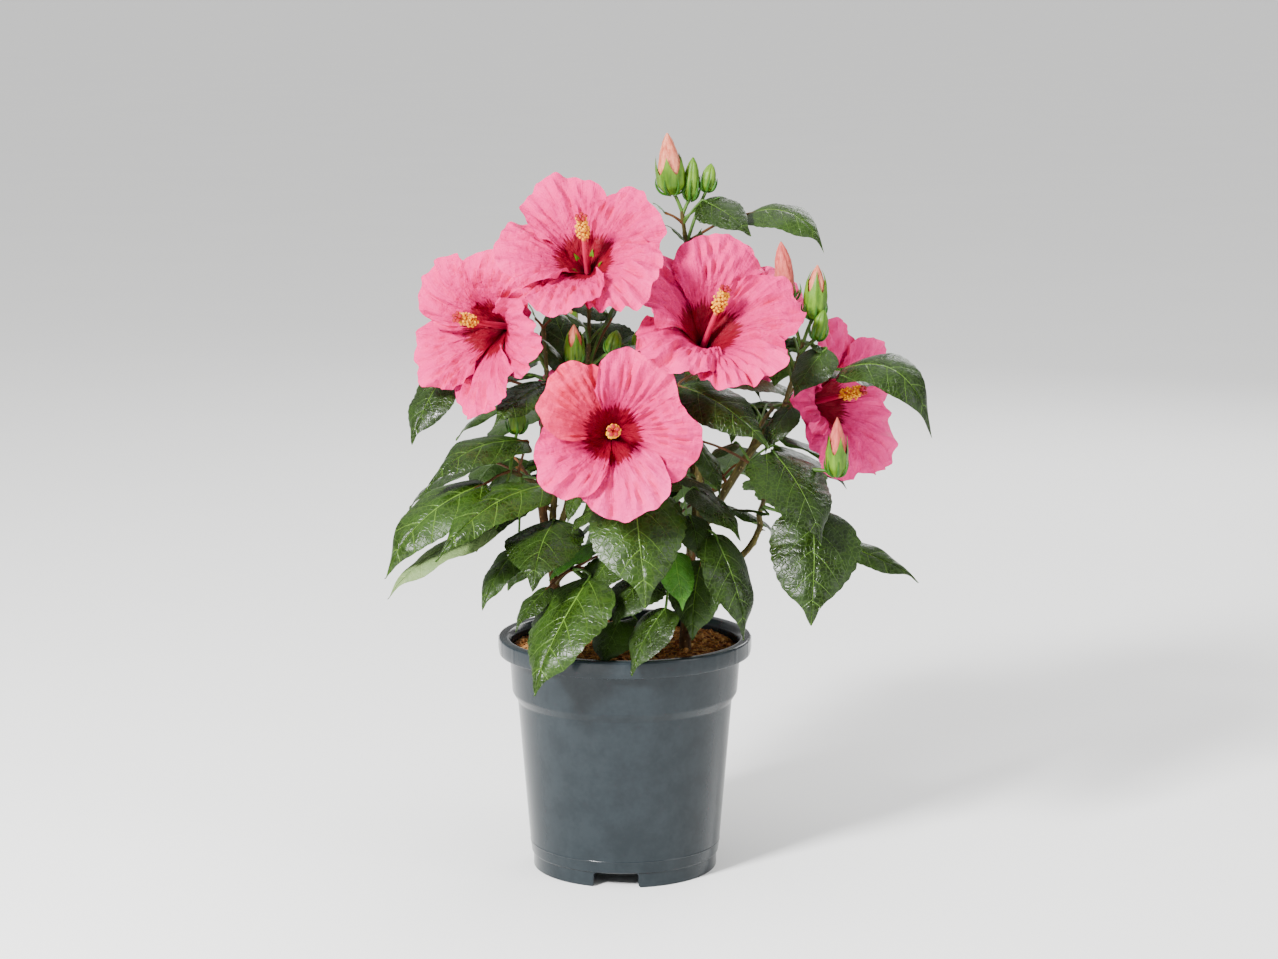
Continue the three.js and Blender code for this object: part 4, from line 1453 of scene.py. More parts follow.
MASSES = {
    "foliage_top": MassPlan(
        "bough_top",
        ((48, 4, 431), (46, 2, 462), (42, 0, 494)),
        (
            (0.86, 15, -176, 30, 12, 9, 180, 40), (0.4, 15, -44, 51, 15, 11, -35, 75),
            (0.5, 13, -99, 50, 20, 15, -171, 40), (0.86, 22, -4, 50, 50, 34, -38, -27, 30),
            (0.9, 20, 0, 33, 14, 8, 0, 27), (0.63, 51, 15, 23, 66, 46, -23, -22, 20, 1.05),
        ),
        buds=(
            BudPlan(1, (14, -175, 60), (-120, 80), 46, 9.8, 0.6),
            BudPlan(0.95, (12, -2, 62), (0, 86), 32, 5.8),
            BudPlan(0.6, (42, 9, 69), (10, 80), 21, 5.6),
        ),
        tints="yymdym",
    ),
    "foliage_top_flower": MassPlan(
        "bough_middle",
        ((-30, 10, 353), (-27, 4, 390), (-26, -6, 426)),
        (
            (0.6, 18, -100, 45, 36, 22, -156, 30), (0.6, 17, -8, 46, 24, 17, -11, 60),
            (0.05, 44, 22, 25, 52, 42, 171, 42, -60), (0.3, 44, 14, 68, 44, 26, -174, 19, -30),
            (0.1, 42, 15, 51, 32, 22, 7, 6, 30), (0.3, 43, 32, 60, 26, 22, 49, 56, -40),
            (0.02, 31, 112, 34, 56, 40, 151, 67, -30), (0.04, 60, 68, 58, 58, 42, -164, -75, -20),
        ),
        Shoot(9, 2, 100, 0.3, 80, 0.7),
        (Bloom(1, (54, -90, 31), (-98, 43), (-97, 51), 78, 22, 0.44),),
        (
            BudPlan(0.25, (30, -108, 24), (-90, 82), 30, 6.8, 0.8),
            BudPlan(0.3, (28, -40, 32), (-10, 76), 18, 6),
        ),
        tints="mmdmdmdd",
    ),
    "foliage_left_flower": MassPlan(
        "stem_left",
        ((-59, 8, 346.5), (-58, 4, 374), (-60, -2, 408)),
        (
            (0.22, 77, 178, 10, 60, 38, -132, -55, -10), (0.18, 74, 174, 1, 46, 18, -146, -46),
            (0.3, 21, -84, 14, 65, 34, -132, -24, -20), (1, 9, -160, 50, 15, 9, -175, 62),
            (1, 8, 0, 50, 15, 8, 0, 72),
        ),
        Shoot(13, 4, 80, 0.4, 80, 0.7),
        (Bloom(0.5, (44, -163, 48), (-126, 1), (-130, 12), 75, -24),),
        tints="dmdyy",
    ),
    "foliage_centre_flower": MassPlan(
        "bough_top",
        ((49, 3, 366), (53, -16, 374), (54, -32, 380)),
        ((0.9, 36, -168, 30, 46, 26, -138, 0), (0.8, 29, -120, -10, 86, 44, -30, -27, 30)),
        Shoot(7, 4, 60, 0, 90, 0.7),
        (Bloom(1, (27, -84, 42), (-74, 45), (-57, 58), 82, -18),),
        (BudPlan(0.45, (46, -172, 26), (-90, 86), 16, 6.4),),
        tints="md",
    ),
    "foliage_right_buds": MassPlan(
        "bough_right",
        ((116, -35, 353.5), (124, -36, 380), (130, -38, 402)),
        (
            (0.75, 30, -48, 20, 45, 36, -144, -48, -15), (0.45, 43, -38, 13, 84, 42, -25, -32, 30, 1.6),
            (0.85, 17, -60, 26, 24, 14, -34, -30), (0.05, 17, -77, 3, 42, 28, -133, -47),
        ),
        Shoot(17, 4, 85, 0.2, 70, 0.74),
        buds=(
            BudPlan(0.9, (35, 145, 68), (-160, 84), 45, 9.4, 0.2, True),
            BudPlan(1, (18, 0, 65), (-40, 86), 40, 8, 0.86),
            BudPlan(0.8, (19, -36, 39), (-30, 76), 23, 5.8),
        ),
        tints="ddmd",
    ),
    "foliage_right_flower": MassPlan(
        "bough_right",
        ((92, 6, 313), (103, 30, 332), (112, 44, 342)),
        shoot=Shoot(19, 6, 70, 0.1, 100, 0.86),
        # This flower faces away from the key lamp, so the paler pink on four of its petals is painted
        # light.
        blooms=(Bloom(1, (23, 3, 6), (-38, 10), (-36, 16), 76, 4, tints=(2, 0, 2, 2, 2)),),
    ),
    "foliage_right": MassPlan(
        "bough_low_right",
        ((100, -3, 269.5), (106, -20, 292), (110, -44, 304)),
        (
            (1, 31, -99, 47, 82, 72, -49, -49), (0.8, 40, -42, -23, 88, 68, -90, -64),
            (0.15, 67, 25, -27, 73, 22, -8, -25, 40), (0.1, 16, -72, -7, 32, 14, -162, 7),
            (0.4, 44, -172, 60, 33, 20, -152, -26), (0.9, 68, -172, 27, 49, 28, -40, -55),
        ),
        Shoot(29, 4, 85, 0.05, 50, 0.8),
        buds=(BudPlan(1, (48, -25, 4), (-90, 84), 44, 7.4, 0.66, True),),
        tints="ddmmmm",
    ),
    "foliage_front_flower": MassPlan(
        "bough_middle",
        ((-41, 4, 276), (-34, -20, 304), (-17, -46, 328)),
        (
            (0.6, 30, -99, -28, 28, 13, -112, -51), (0.6, 42, -75, -42, 28, 16, -133, -31),
            (0.85, 66, 140, 66, 30, 18, 180, 48),
        ),
        # The fourth petal takes the paler pink, which is painted light on it.
        blooms=(Bloom(1, (32, -73, 20), (-90, 10), (-89, 12), 76, -24, tints=(0, 1, 0, 2, 0)),),
        tints="mmm",
    ),
    "foliage_left": MassPlan(
        "stem_left",
        ((-66, 6, 286), (-74, -12, 298), (-84, -34, 306)),
        (
            (0.75, 27, -28, 70, 88, 46, -153, -19, -15, 0.6),
            (1, 21, -142, -17, 104, 52, -156, -38, -22, 0.6),
            (0.6, 33, -55, -3, 109, 44, -143, -24, -18, 0.45), (1, 43, -120, -64, 97, 34, -157, -27, -12),
            (0.6, 52, -101, -75, 58, 30, -129, -45),
        ),
        Shoot(31, 4, 112, 0.05, 60, 0.86),
        buds=(BudPlan(1, (30, 71, 60), (-90, 86), 21, 7),),
        tints="dmmpm",
    ),
    "foliage_low_left": MassPlan(
        "stem_left",
        ((-50, -1, 213), (-46, -18, 226), (-38, -38, 234)),
        (
            (0.9, 44, -129, 66, 76, 58, -104, -30), (1, 27, -131, -20, 46, 24, -131, -36),
            (1, 35, -68, 2, 100, 68, -129, -51), (1, 39, -27, 24, 44, 42, -130, -43),
            (0.7, 34, -22, 46, 46, 34, -158, -34), (1, 62, -23, 2, 50, 54, -137, -41),
            (1, 59, -15, -36, 27, 24, -161, -23), (1, 53, -33, -40, 37, 40, -120, -51),
        ),
        Shoot(43, 3, 105, 0.05, 40, 0.62),
        tints="ddmmydmm",
    ),
    "foliage_low_right": MassPlan(
        "stem_right",
        ((47, -8, 240), (44, -24, 256), (36, -50, 268)),
        (
            (1, 48, -148, 45, 96, 72, -82, -56), (1, 63, -100, -57, 57, 42, -138, -53),
            (1, 24, -90, -38, 46, 28, -76, -58), (0.85, 21, -57, 39, 36, 28, -71, -54),
            (1, 35, -34, 61, 54, 42, -33, -40), (0.5, 29, -62, -26, 61, 46, -109, -68),
            (1, 31, -22, -5, 82, 46, -48, -65), (0.1, 60, -108, 74, 34, 22, -35, -22),
        ),
        tints="mdyddmdm",
    ),
    "foliage_back_left": MassPlan(
        "bough_back_left",
        ((-48, 75, 311.5), (-46, 88, 344), (-44, 90, 380)),
        shoot=Shoot(11, 9, 80, 0.08, 180, 0.96),
        buds=(BudPlan(1, (14, 90, 60), (90, 80), 34, 7, 0.7),),
    ),
    "foliage_back_flower": MassPlan(
        "bough_back_left",
        ((-49, 51, 274), (-34, 66, 286), (-18, 78, 298)),
        shoot=Shoot(23, 6, 130, 0.2, 200, 0.84),
        blooms=(Bloom(1, (31, 73, 26), (96, 14), (96, 22), 74, 5),),
    ),
    "foliage_back_side_left": MassPlan(
        "bough_back_left",
        ((-59, 42, 262), (-74, 62, 270), (-86, 80, 278)),
        shoot=Shoot(61, 9, 125, 0.1, 170, 0.84, 4),
    ),
    "foliage_back_right": MassPlan(
        "bough_back_right",
        ((48, 85, 319.5), (46, 94, 350), (42, 96, 384)),
        shoot=Shoot(37, 8, 60, 0.05, 360, 0.94),
        blooms=(Bloom(0.85, (34, 10, 34), (76, 12), (76, 20), 74, -4),),
        buds=(BudPlan(1, (16, 120, 60), (80, 80), 30, 6.4, 0.75),),
    ),
    "foliage_back_side_right": MassPlan(
        "bough_back_right",
        ((59, 58, 266), (80, 68, 282), (98, 72, 300)),
        shoot=Shoot(41, 10, 40, 0.1, 360, 0.94),
    ),
    "foliage_back_low": MassPlan(
        "bough_back_right",
        ((46, 32, 250), (28, 54, 250), (4, 68, 256)),
        shoot=Shoot(53, 9, 90, 0.15, 300, 0.9),
    ),
}

# The turns and tilts in degrees that a seeded leaf is tried in, before it is left out
TURNS = ((0, 0), (16, 0), (-16, 0), (0, 18), (0, -18), (30, 10), (-30, 10), (44, -8), (-44, -8))


class LeafMaker:
    """Grows leaves: a toothed blade, quilted between its ribs, on a thin stalk."""

    TEETH = 9
    FIRST_TOOTH = 0.22
    LAST_TOOTH = 0.965
    TOOTH_DEPTH = 0.05
    ARCH = 0.32
    DROOP = 0.22
    TIP_DROOP = 0.03
    PILLOW = 0.017
    KEEL = 0.012
    RIPPLE = 0.012
    THICKNESS = 0.5
    COLUMNS = (0, 0.07, 0.2, 0.38, 0.58, 0.78, 0.92, 1)
    TINTS = "dmyp"

    def __init__(self, palette: Palette) -> None:
        """Works out where the blade's rows and columns of points stand."""
        self.palette = palette
        step = (self.LAST_TOOTH - self.FIRST_TOOTH) / self.TEETH
        stations, share = [0.0, 0.015, 0.045, 0.09, 0.14, 0.18], [1.0] * 6
        for k in range(self.TEETH):
            for phase in (0.05, 0.35, 0.65, 0.9):
                stations.append(self.FIRST_TOOTH + step * (k + phase))
                share.append(1 - self.TOOTH_DEPTH * (1 - math.sin(math.pi * phase**1.6)))
        stations += [0.985, 1.0]
        share += [1.0, 1.0]
        self.stations = np.array(stations)
        self.teeth = np.array(share)
        half = np.array(self.COLUMNS)
        self.columns = np.concatenate([-half[:0:-1], half])

    @staticmethod
    def outline(v: Array) -> Array:
        """Half width of the blade as a share of its widest, along its length."""
        drawn = 1 - 0.3 * bell(v, 0.88, 0.09)
        return np.sin(np.pi * v**0.62).clip(0) ** (0.62 + 0.42 * v) * drawn

    @staticmethod
    def axes(record: Record) -> tuple[Array, Array, Array]:
        """The blade's own directions: along it, up from its face and to its side."""
        heading, pitch, *rest = record[6:]
        axis = along(heading, pitch)
        flat = unit(np.array([0, 0, 1.0]) - axis * axis[2])
        up = turned(flat, axis, rest[0] if rest else 0)
        return axis, up, np.cross(axis, up)

    def tip(self, start: Array, record: Record) -> Array:
        """Where the blade's tip comes."""
        return start + self.axes(record)[0] * record[4]

    def grow(
        self,
        blades: Piece,
        twigs: Piece,
        root: Array,
        start: Array,
        record: Record,
        random: Random,
        tint: str = "",
    ) -> None:
        """Adds one leaf with its stalk.

        Args:
            blades: Where the blade goes.
            twigs: Where the stalk goes.
            root: Where the stalk leaves the twig.
            start: Where the blade begins.
            record: The leaf's place and sizes.
            random: The source of its small differences.
            tint: One of the letters of TINTS, or nothing for a tint by chance.
        """
        axis, up, side = self.axes(record)
        length, width = record[4:6]
        arch = record[9] if len(record) > 9 else self.ARCH
        v = self.stations[:, None]
        u = self.columns[None, :]
        sign = np.sign(u)
        tooth = self.teeth[:, None] ** (random.uniform(0.5, 1.2) + random.uniform(-0.3, 0.3) * sign)
        half = width / 2 * self.outline(v) * tooth
        lateral = u * half * (1 + 0.05 * np.sin(7 * v + random.uniform(0, 6)) * sign)
        off, sign = np.abs(lateral) / length, np.sign(lateral)
        shift = RIB_SWAY * np.sin(RIB_WAVES * v + RIB_PHASE * sign) + RIB_STAGGER * sign
        rib = (v - off * (RIB_SLANT + RIB_BOW * off) + shift) * RIBS
        pillow = np.sqrt(np.abs(np.sin(np.pi * rib)) + 0.02) * np.sin(np.pi * np.abs(u) ** 0.8) ** 0.7
        rooted = smooth(0, 0.1, v)
        ripple = np.sin(2 * np.pi * (random.uniform(1.3, 2.2) * v + random.uniform(0, 1, (1, 1)))) * u
        ripple = ripple + np.sin(2 * np.pi * (2.6 * v + random.uniform(0, 1)))
        lift = arch * length * v * (1 - v) - self.DROOP * half * np.abs(u) ** 1.3
        lift = lift + self.PILLOW * length * pillow * smooth(1.0, 0.75, v) * rooted
        lift = lift - self.KEEL * length * bell(u, 0, 0.09) * (1 - v) * rooted
        lift = lift + self.RIPPLE * length * ripple * u**2
        lift = lift - self.TIP_DROOP * length * smooth(0.75, 1.0, v) ** 2
        sway = 0.02 * length * np.sin(np.pi * v * 1.4) * random.uniform(-1, 1)
        ahead = length * v + 0.012 * length * u**2 * (1 - v)
        aside = lateral + sway
        front = start + axis * ahead[..., None] + side * aside[..., None] + up * lift[..., None]
        depth = self.THICKNESS * np.sin(np.pi * (1 - np.abs(u)) / 2) * np.ones_like(v) + 0.05
        back = front - up * depth[..., None]
        local = np.stack([0.5 + lateral / length, np.broadcast_to(v, lateral.shape)], axis=2)
        tops = self.palette.leaf_tops
        pick = self.TINTS.index(tint) if tint else random.choice(3, p=[0.55, 0.39, 0.06])
        blades.thin_shell(front, back, local, (tops[pick], self.palette.leaf_under), (True, True))
        self.stalk(twigs, root, start, start + axis * length * 0.1 + up * arch * length * 0.075, random)

    def stalk(self, twigs: Piece, root: Array, start: Array, end: Array, random: Random) -> None:
        """Adds the stalk, which runs a little way up under the midrib.

        Args:
            twigs: Where it goes.
            root: Where it leaves the twig.
            start: Where the blade begins.
            end: Where it runs out under the blade.
            random: The source of its tint.
        """
        bend = root + (start - root) * 0.55
        bend[2] += 0.06 * np.linalg.norm(start - root)
        t = np.linspace(0, 1, 12)
        radii = 0.95 + 0.75 * np.exp(-t * 9) + 0.25 * bell(t, 0.66, 0.09) - 0.35 * t**3
        tint = self.palette.stalk_red if random.random() < 0.4 else self.palette.stalk
        twigs.strand([root, bend, start, end], radii, 7, tint, STALK_RUN)


class FlowerMaker:
    """Grows open flowers and buds.

    CRIMP, RUFFLES and CREASES are waves across a petal, each as a count and a height: shares of
    the petal's length for the first, and for the others millimetres on a flower of FOLDED_AT.
    """

    PETALS = 5
    SPREAD = 0.79
    ACROSS = 53
    ALONG = 34
    HALF_ANGLES = (45, 51)
    CRIMP = ((1.3, 0.022), (2.9, 0.018), (5.3, 0.012), (9, 0.006))
    RUFFLES = ((1.3, 2.6), (2.9, 2.2), (5.3, 1.2), (9, 0.5))
    CREASES = ((5, 0.4), (9, 0.4), (14, 0.3))
    FOLDED_AT = 76
    COLUMN = 54.0
    ANTHERS = 68
    GOLDEN_TURN = 2.39996
    BRACTS = 7
    BRACT_RADII = (0.5, 0.8, 0.95, 1.0, 0.95, 0.8, 0.6, 0.4, 0.15)
    SPINDLE = ((0, 0.16, 0.44, 0.7, 0.88, 1), (0.4, 0.95, 1, 0.84, 0.5, 0.08))
    CALYX = ((0, 3, 8, 15, 24, 31), (2.2, 5.4, 6.8, 6.6, 8.6, 12.0))

    def __init__(self, palette: Palette) -> None:
        """Keeps the finishes."""
        self.palette = palette

    @staticmethod
    def facing(out: Array) -> tuple[Array, Array]:
        """The directions across and up a flower that faces `out`."""
        across = unit(np.cross([0, 0, 1.0], out))
        return across, np.cross(out, across)

    def body(self, foot: Array, out: Array, height: Array, turn: Array, radius: Array) -> Array:
        """Points round an axis.

        Args:
            foot: Where the axis starts.
            out: The axis's direction.
            height: How far along the axis each point lies.
            turn: How far round the axis, in radians.
            radius: How far from the axis.

        Returns:
            The points, in the layout of the last three taken together.
        """
        way = around(turn, *self.facing(out))
        return foot + out * height[..., None] + way * radius[..., None]

    def lobe(self, turn: Array) -> Array:
        """How near each turn is to the edge of its fifth, from 0 in the middle to 1."""
        return np.abs((turn * self.PETALS / (2 * np.pi)) % 1 * 2 - 1)

    def petals(self, piece: Piece, start: Array, bloom: Bloom, random: Random) -> None:
        """Adds the petals, each with one side over its neighbour.

        Args:
            piece: Where they go.
            start: The middle of the throat.
            bloom: How the flower faces and its size.
            random: The source of its folds.
        """
        out = along(*bloom.face)
        across, upward = self.facing(out)
        size = bloom.radius
        a = np.linspace(-1, 1, self.ACROSS)[None, :]
        t = (np.linspace(0, 1, self.ALONG) ** 0.9)[:, None]
        for k in range(self.PETALS):
            middle = bloom.roll + 90 + 360 / self.PETALS * k + random.uniform(-5, 5)
            crimp = self.waves(a, self.CRIMP, random)
            margin = random.uniform(0.96, 1.04) - 0.4 * np.abs(a) ** 2.4 + crimp
            far = t * margin
            half = np.interp(smooth(0, 0.35, t), (0, 1), self.HALF_ANGLES)
            turn = np.radians(middle + a * half)
            radial = size * (0.03 + self.SPREAD * far**1.2)
            ahead = bloom.depth * size * (1 - (1 - far).clip(0) ** 1.8)
            steep = bloom.depth * 1.8 * (1 - far).clip(0.01) ** 0.8
            slope = np.arctan2(steep, self.SPREAD * 1.2 * far.clip(0.02) ** 0.2)
            lift = a * (0.3 + 5.2 * smooth(0.3, 0.8, t))
            lift = lift + self.waves(a, self.RUFFLES, random) * t**3
            bent = a + 0.06 * np.sin(7 * t + random.uniform(0, 6.3))
            creases = self.waves(bent, self.CREASES, random)
            for n, m, h in random.uniform((4, -7, 0.3), (15, 7, 0.7), (9, 3)):
                creases = creases + h * np.sin(np.pi * (n * a + m * t)) * smooth(0.2, 0.7, t)
            lift = lift + creases * smooth(0.25, 0.75, t)
            lift = lift - random.uniform(0.5, 6.0) * smooth(0.6, 1, t) ** 2
            lift = lift * size / self.FOLDED_AT
            away = around(turn, across, upward)
            normal = np.cos(slope)[..., None] * out - np.sin(slope)[..., None] * away
            middle_face = start + away * radial[..., None] + out * ahead[..., None]
            front = middle_face + normal * lift[..., None]
            depth = 0.5 * np.sin(np.pi * (1 - np.abs(a)) / 2) * (1.2 - t) + 0.06
            back = front - normal * depth[..., None]
            local = np.stack([0.5 + 0.5 * np.broadcast_to(a, far.shape), far], axis=2)
            skin = self.palette.petals[bloom.tints[k]]
            piece.thin_shell(front, back, local, (skin, self.palette.petal_back))

    @staticmethod
    def waves(a: Array, sizes: tuple[Pair, ...], random: Random) -> Array:
        """A sum of waves of these counts and heights, each with a phase of its own."""
        return sum(h * np.sin(n * np.pi * a + random.uniform(0, 6.3)) for n, h in sizes)

    def spine(self, start: Array, bloom: Bloom, share: Array) -> Array:
        """Points along the column that carries the anthers."""
        out, lean = along(*bloom.face), along(*bloom.column)
        t = np.asarray(share, float)[..., None]
        return start + out * self.COLUMN * t * (1 - t) * 0.3 + lean * self.COLUMN * t

    def column(self, piece: Piece, start: Array, bloom: Bloom, random: Random) -> None:
        """Adds the column with its anthers and the five stigma pads at its tip.

        Args:
            piece: Where it goes.
            start: The middle of the throat.
            bloom: How the flower faces.
            random: The source of the anthers' places.
        """
        palette = self.palette
        foot = self.spine(start, bloom, np.linspace(0, 0.56, 14))
        piece.closed_tube(lay_rings(foot, np.linspace(2.6, 1.7, 14), 12), palette.column_foot)
        top = self.spine(start, bloom, np.linspace(0.54, 0.95, 12))
        piece.closed_tube(lay_rings(top, np.linspace(1.75, 1.1, 12), 10), palette.column_top)
        lean = unit(self.spine(start, bloom, 1.0) - self.spine(start, bloom, 0.9))
        across, upward = self.facing(lean)
        for i in range(self.ANTHERS):
            share = 0.58 + 0.36 * (i + random.random()) / self.ANTHERS
            way = around(i * self.GOLDEN_TURN, across, upward)
            root = self.spine(start, bloom, share)
            reach = random.uniform(3.1, 5.4) * (1 - 0.25 * abs(share - 0.76) / 0.18)
            tip = root + way * reach + lean * random.uniform(0.6, 2.4)
            bend = (root + tip) / 2 + lean * 0.3
            piece.strand([root, bend, tip], np.full(4, 0.26), 4, palette.column_top)
            self.bead(piece, tip, unit(tip - root), random.uniform(1.0, 1.35), palette.anther)
        end = self.spine(start, bloom, 0.93)
        for turn in circle(self.PETALS) + math.radians(20):
            way = around(turn, across, upward)
            tip = end + way * 3.1 + lean * 4.4
            bend = end + way * 1.1 + lean * 2.8
            piece.strand([end, bend, tip], np.linspace(0.62, 0.5, 7), 6, palette.stigma)
            self.bead(piece, tip, lean, 1.75, palette.stigma, 0.62)

    @staticmethod
    def bead(
        piece: Piece, middle: Array, axis: Array, radius: float, material: Material, flat: float = 0.8
    ) -> None:
        """Adds a small rounded body.

        Args:
            piece: Where it goes.
            middle: Its middle.
            axis: The direction that it is flattened in.
            radius: Its radius across.
            material: Its finish.
            flat: Its half height as a share of its radius.
        """
        turns = np.radians([-72, -36, 0, 36, 72])
        line = middle + axis * (np.sin(turns) * radius * flat)[:, None]
        piece.closed_tube(lay_rings(line, np.cos(turns) * radius, 8), material, 10.0)

    def cup(
        self,
        piece: Piece,
        foot: Array,
        out: Array,
        profile: Callable[[Array], Array],
        reach: Pair,
        sharp: float,
    ) -> None:
        """Adds a calyx: a green cup with five pointed lobes.

        Args:
            piece: Where it goes.
            foot: The middle of its foot.
            out: The direction that it opens in.
            profile: Its radius at a height above its foot.
            reach: The height of the gaps between lobes and of the lobes' tips.
            sharp: How pointed the lobes are.
        """
        sides, rows = 50, 14
        turn = circle(sides)[None, :]
        off = self.lobe(turn)
        top = reach[0] + (reach[1] - reach[0]) * off**sharp
        t = np.linspace(0.03, 1, rows)[:, None]
        height = t * top
        ridge = 1 + 0.035 * np.cos(10 * turn) + 0.03 * off
        radius = profile(height) * ridge
        front = self.body(foot, out, height, turn, radius)
        back = self.body(foot, out, height, turn, (radius - 0.5).clip(0.2))
        back[0] = front[0]
        local = np.stack([np.broadcast_to(turn / (2 * np.pi), height.shape), height / 40], axis=2)
        calyx = self.palette.calyx
        piece.thin_shell(front, back, local, (calyx, calyx), wrap=True)

    def bracts(
        self, piece: Piece, foot: Array, out: Array, radius: float, length: float, spread: float
    ) -> None:
        """Adds the ring of narrow bracts under a calyx.

        Args:
            piece: Where they go.
            foot: The middle of the calyx's foot.
            out: The direction that the calyx opens in.
            radius: The calyx's radius at its foot.
            length: How long a bract is.
            spread: How far it stands away.
        """
        across, upward = self.facing(out)
        for turn in circle(self.BRACTS) + 0.3:
            way = around(turn, across, upward)
            spots = [
                foot + way * radius * 0.35 - out * 0.4,
                foot + way * (radius * 0.9 + spread * 0.35) + out * length * 0.18,
                foot + way * (radius + spread * 0.8) + out * length * 0.6,
                foot + way * (radius + spread * 0.75) + out * length,
            ]
            piece.strand(spots, self.BRACT_RADII, 6, self.palette.bract, 20.0)

    def stalk(self, twigs: Piece, root: Array, end: Array, radii: Pair, sag: float) -> None:
        """Adds a flower's or bud's stalk with its joint."""
        bend = (root + end) / 2
        bend[2] += sag * np.linalg.norm(end - root)
        t = np.linspace(0, 1, 14)
        thick = radii[0] + (radii[1] - radii[0]) * t + 0.4 * bell(t, 0.72, 0.05)
        twigs.strand([root, bend, end], thick, 9, self.palette.stalk, STALK_RUN)

    def bloom(
        self, parts: dict[str, Piece], root: Array, start: Array, plan: Bloom, random: Random
    ) -> None:
        """Adds an open flower.

        Args:
            parts: The mass's pieces by kind.
            root: Where the stalk leaves the twig.
            start: The middle of the throat.
            plan: How the flower faces and its size.
            random: The source of its small differences.
        """
        out = along(*plan.face)
        self.petals(parts["petals"], start, plan, random)
        self.column(parts["blossom"], start, plan, random)
        foot = start - out * 15
        self.cup(parts["blossom"], foot, out, lambda h: np.interp(h, *self.CALYX), (17, 29), 1.3)
        self.bracts(parts["blossom"], foot, out, 4.2, 11, 4.5)
        self.stalk(parts["twigs"], root, foot + out * 1.5, (1.75, 1.6), 0.08)

    def bud(self, parts: dict[str, Piece], root: Array, start: Array, plan: BudPlan) -> None:
        """Adds a bud: furled petals in a calyx, with bracts under it.

        Args:
            parts: The mass's pieces by kind.
            root: Where the stalk leaves the twig.
            start: The bud's foot.
            plan: How the bud stands and its size.
        """
        out = along(*plan.face)
        heights, shares = (np.array(x, float) for x in self.SPINDLE)

        def profile(height: Array) -> Array:
            return np.interp(height, heights * plan.length, shares * plan.radius)

        if plan.calyx < 1:
            t = np.linspace(0.04, 1, 30)[:, None]
            turn = circle(40)[None, :]
            furl = (turn * self.PETALS / (2 * np.pi) + 1.5 * t + 0.1 * np.sin(6 * t)) % 1
            radius = profile(t * plan.length) * (0.84 + 0.15 * furl**0.7)
            radius = radius * (1 - 0.2 * smooth(plan.calyx * 0.6, plan.calyx * 1.3, t))
            skin = self.palette.furled_pink if plan.pink else self.palette.furled
        else:
            t = np.linspace(0.03, 1, 24)[:, None]
            turn = circle(50)[None, :]
            radius = profile(t * plan.length) * (1 - 0.16 * (1 - self.lobe(turn)) ** 3) + 0.1
            skin = self.palette.calyx
        rings = self.body(start, out, t * plan.length, turn, radius)
        parts["buds"].closed_tube(rings, skin, 30.0)
        if plan.calyx < 1:
            reach = (plan.length * plan.calyx * 0.6, plan.length * plan.calyx * 1.08)
            self.cup(parts["buds"], start, out, lambda h: profile(h) * 1.04 + 0.35, reach, 1.5)
        length = 0.52 * plan.length if plan.calyx >= 1 else 0.3 * plan.length
        self.bracts(parts["buds"], start, out, plan.radius * 0.75, length, plan.radius * 0.55)
        self.stalk(parts["twigs"], root, start + out * plan.length * 0.08, (1.4, 1.2), 0.06)


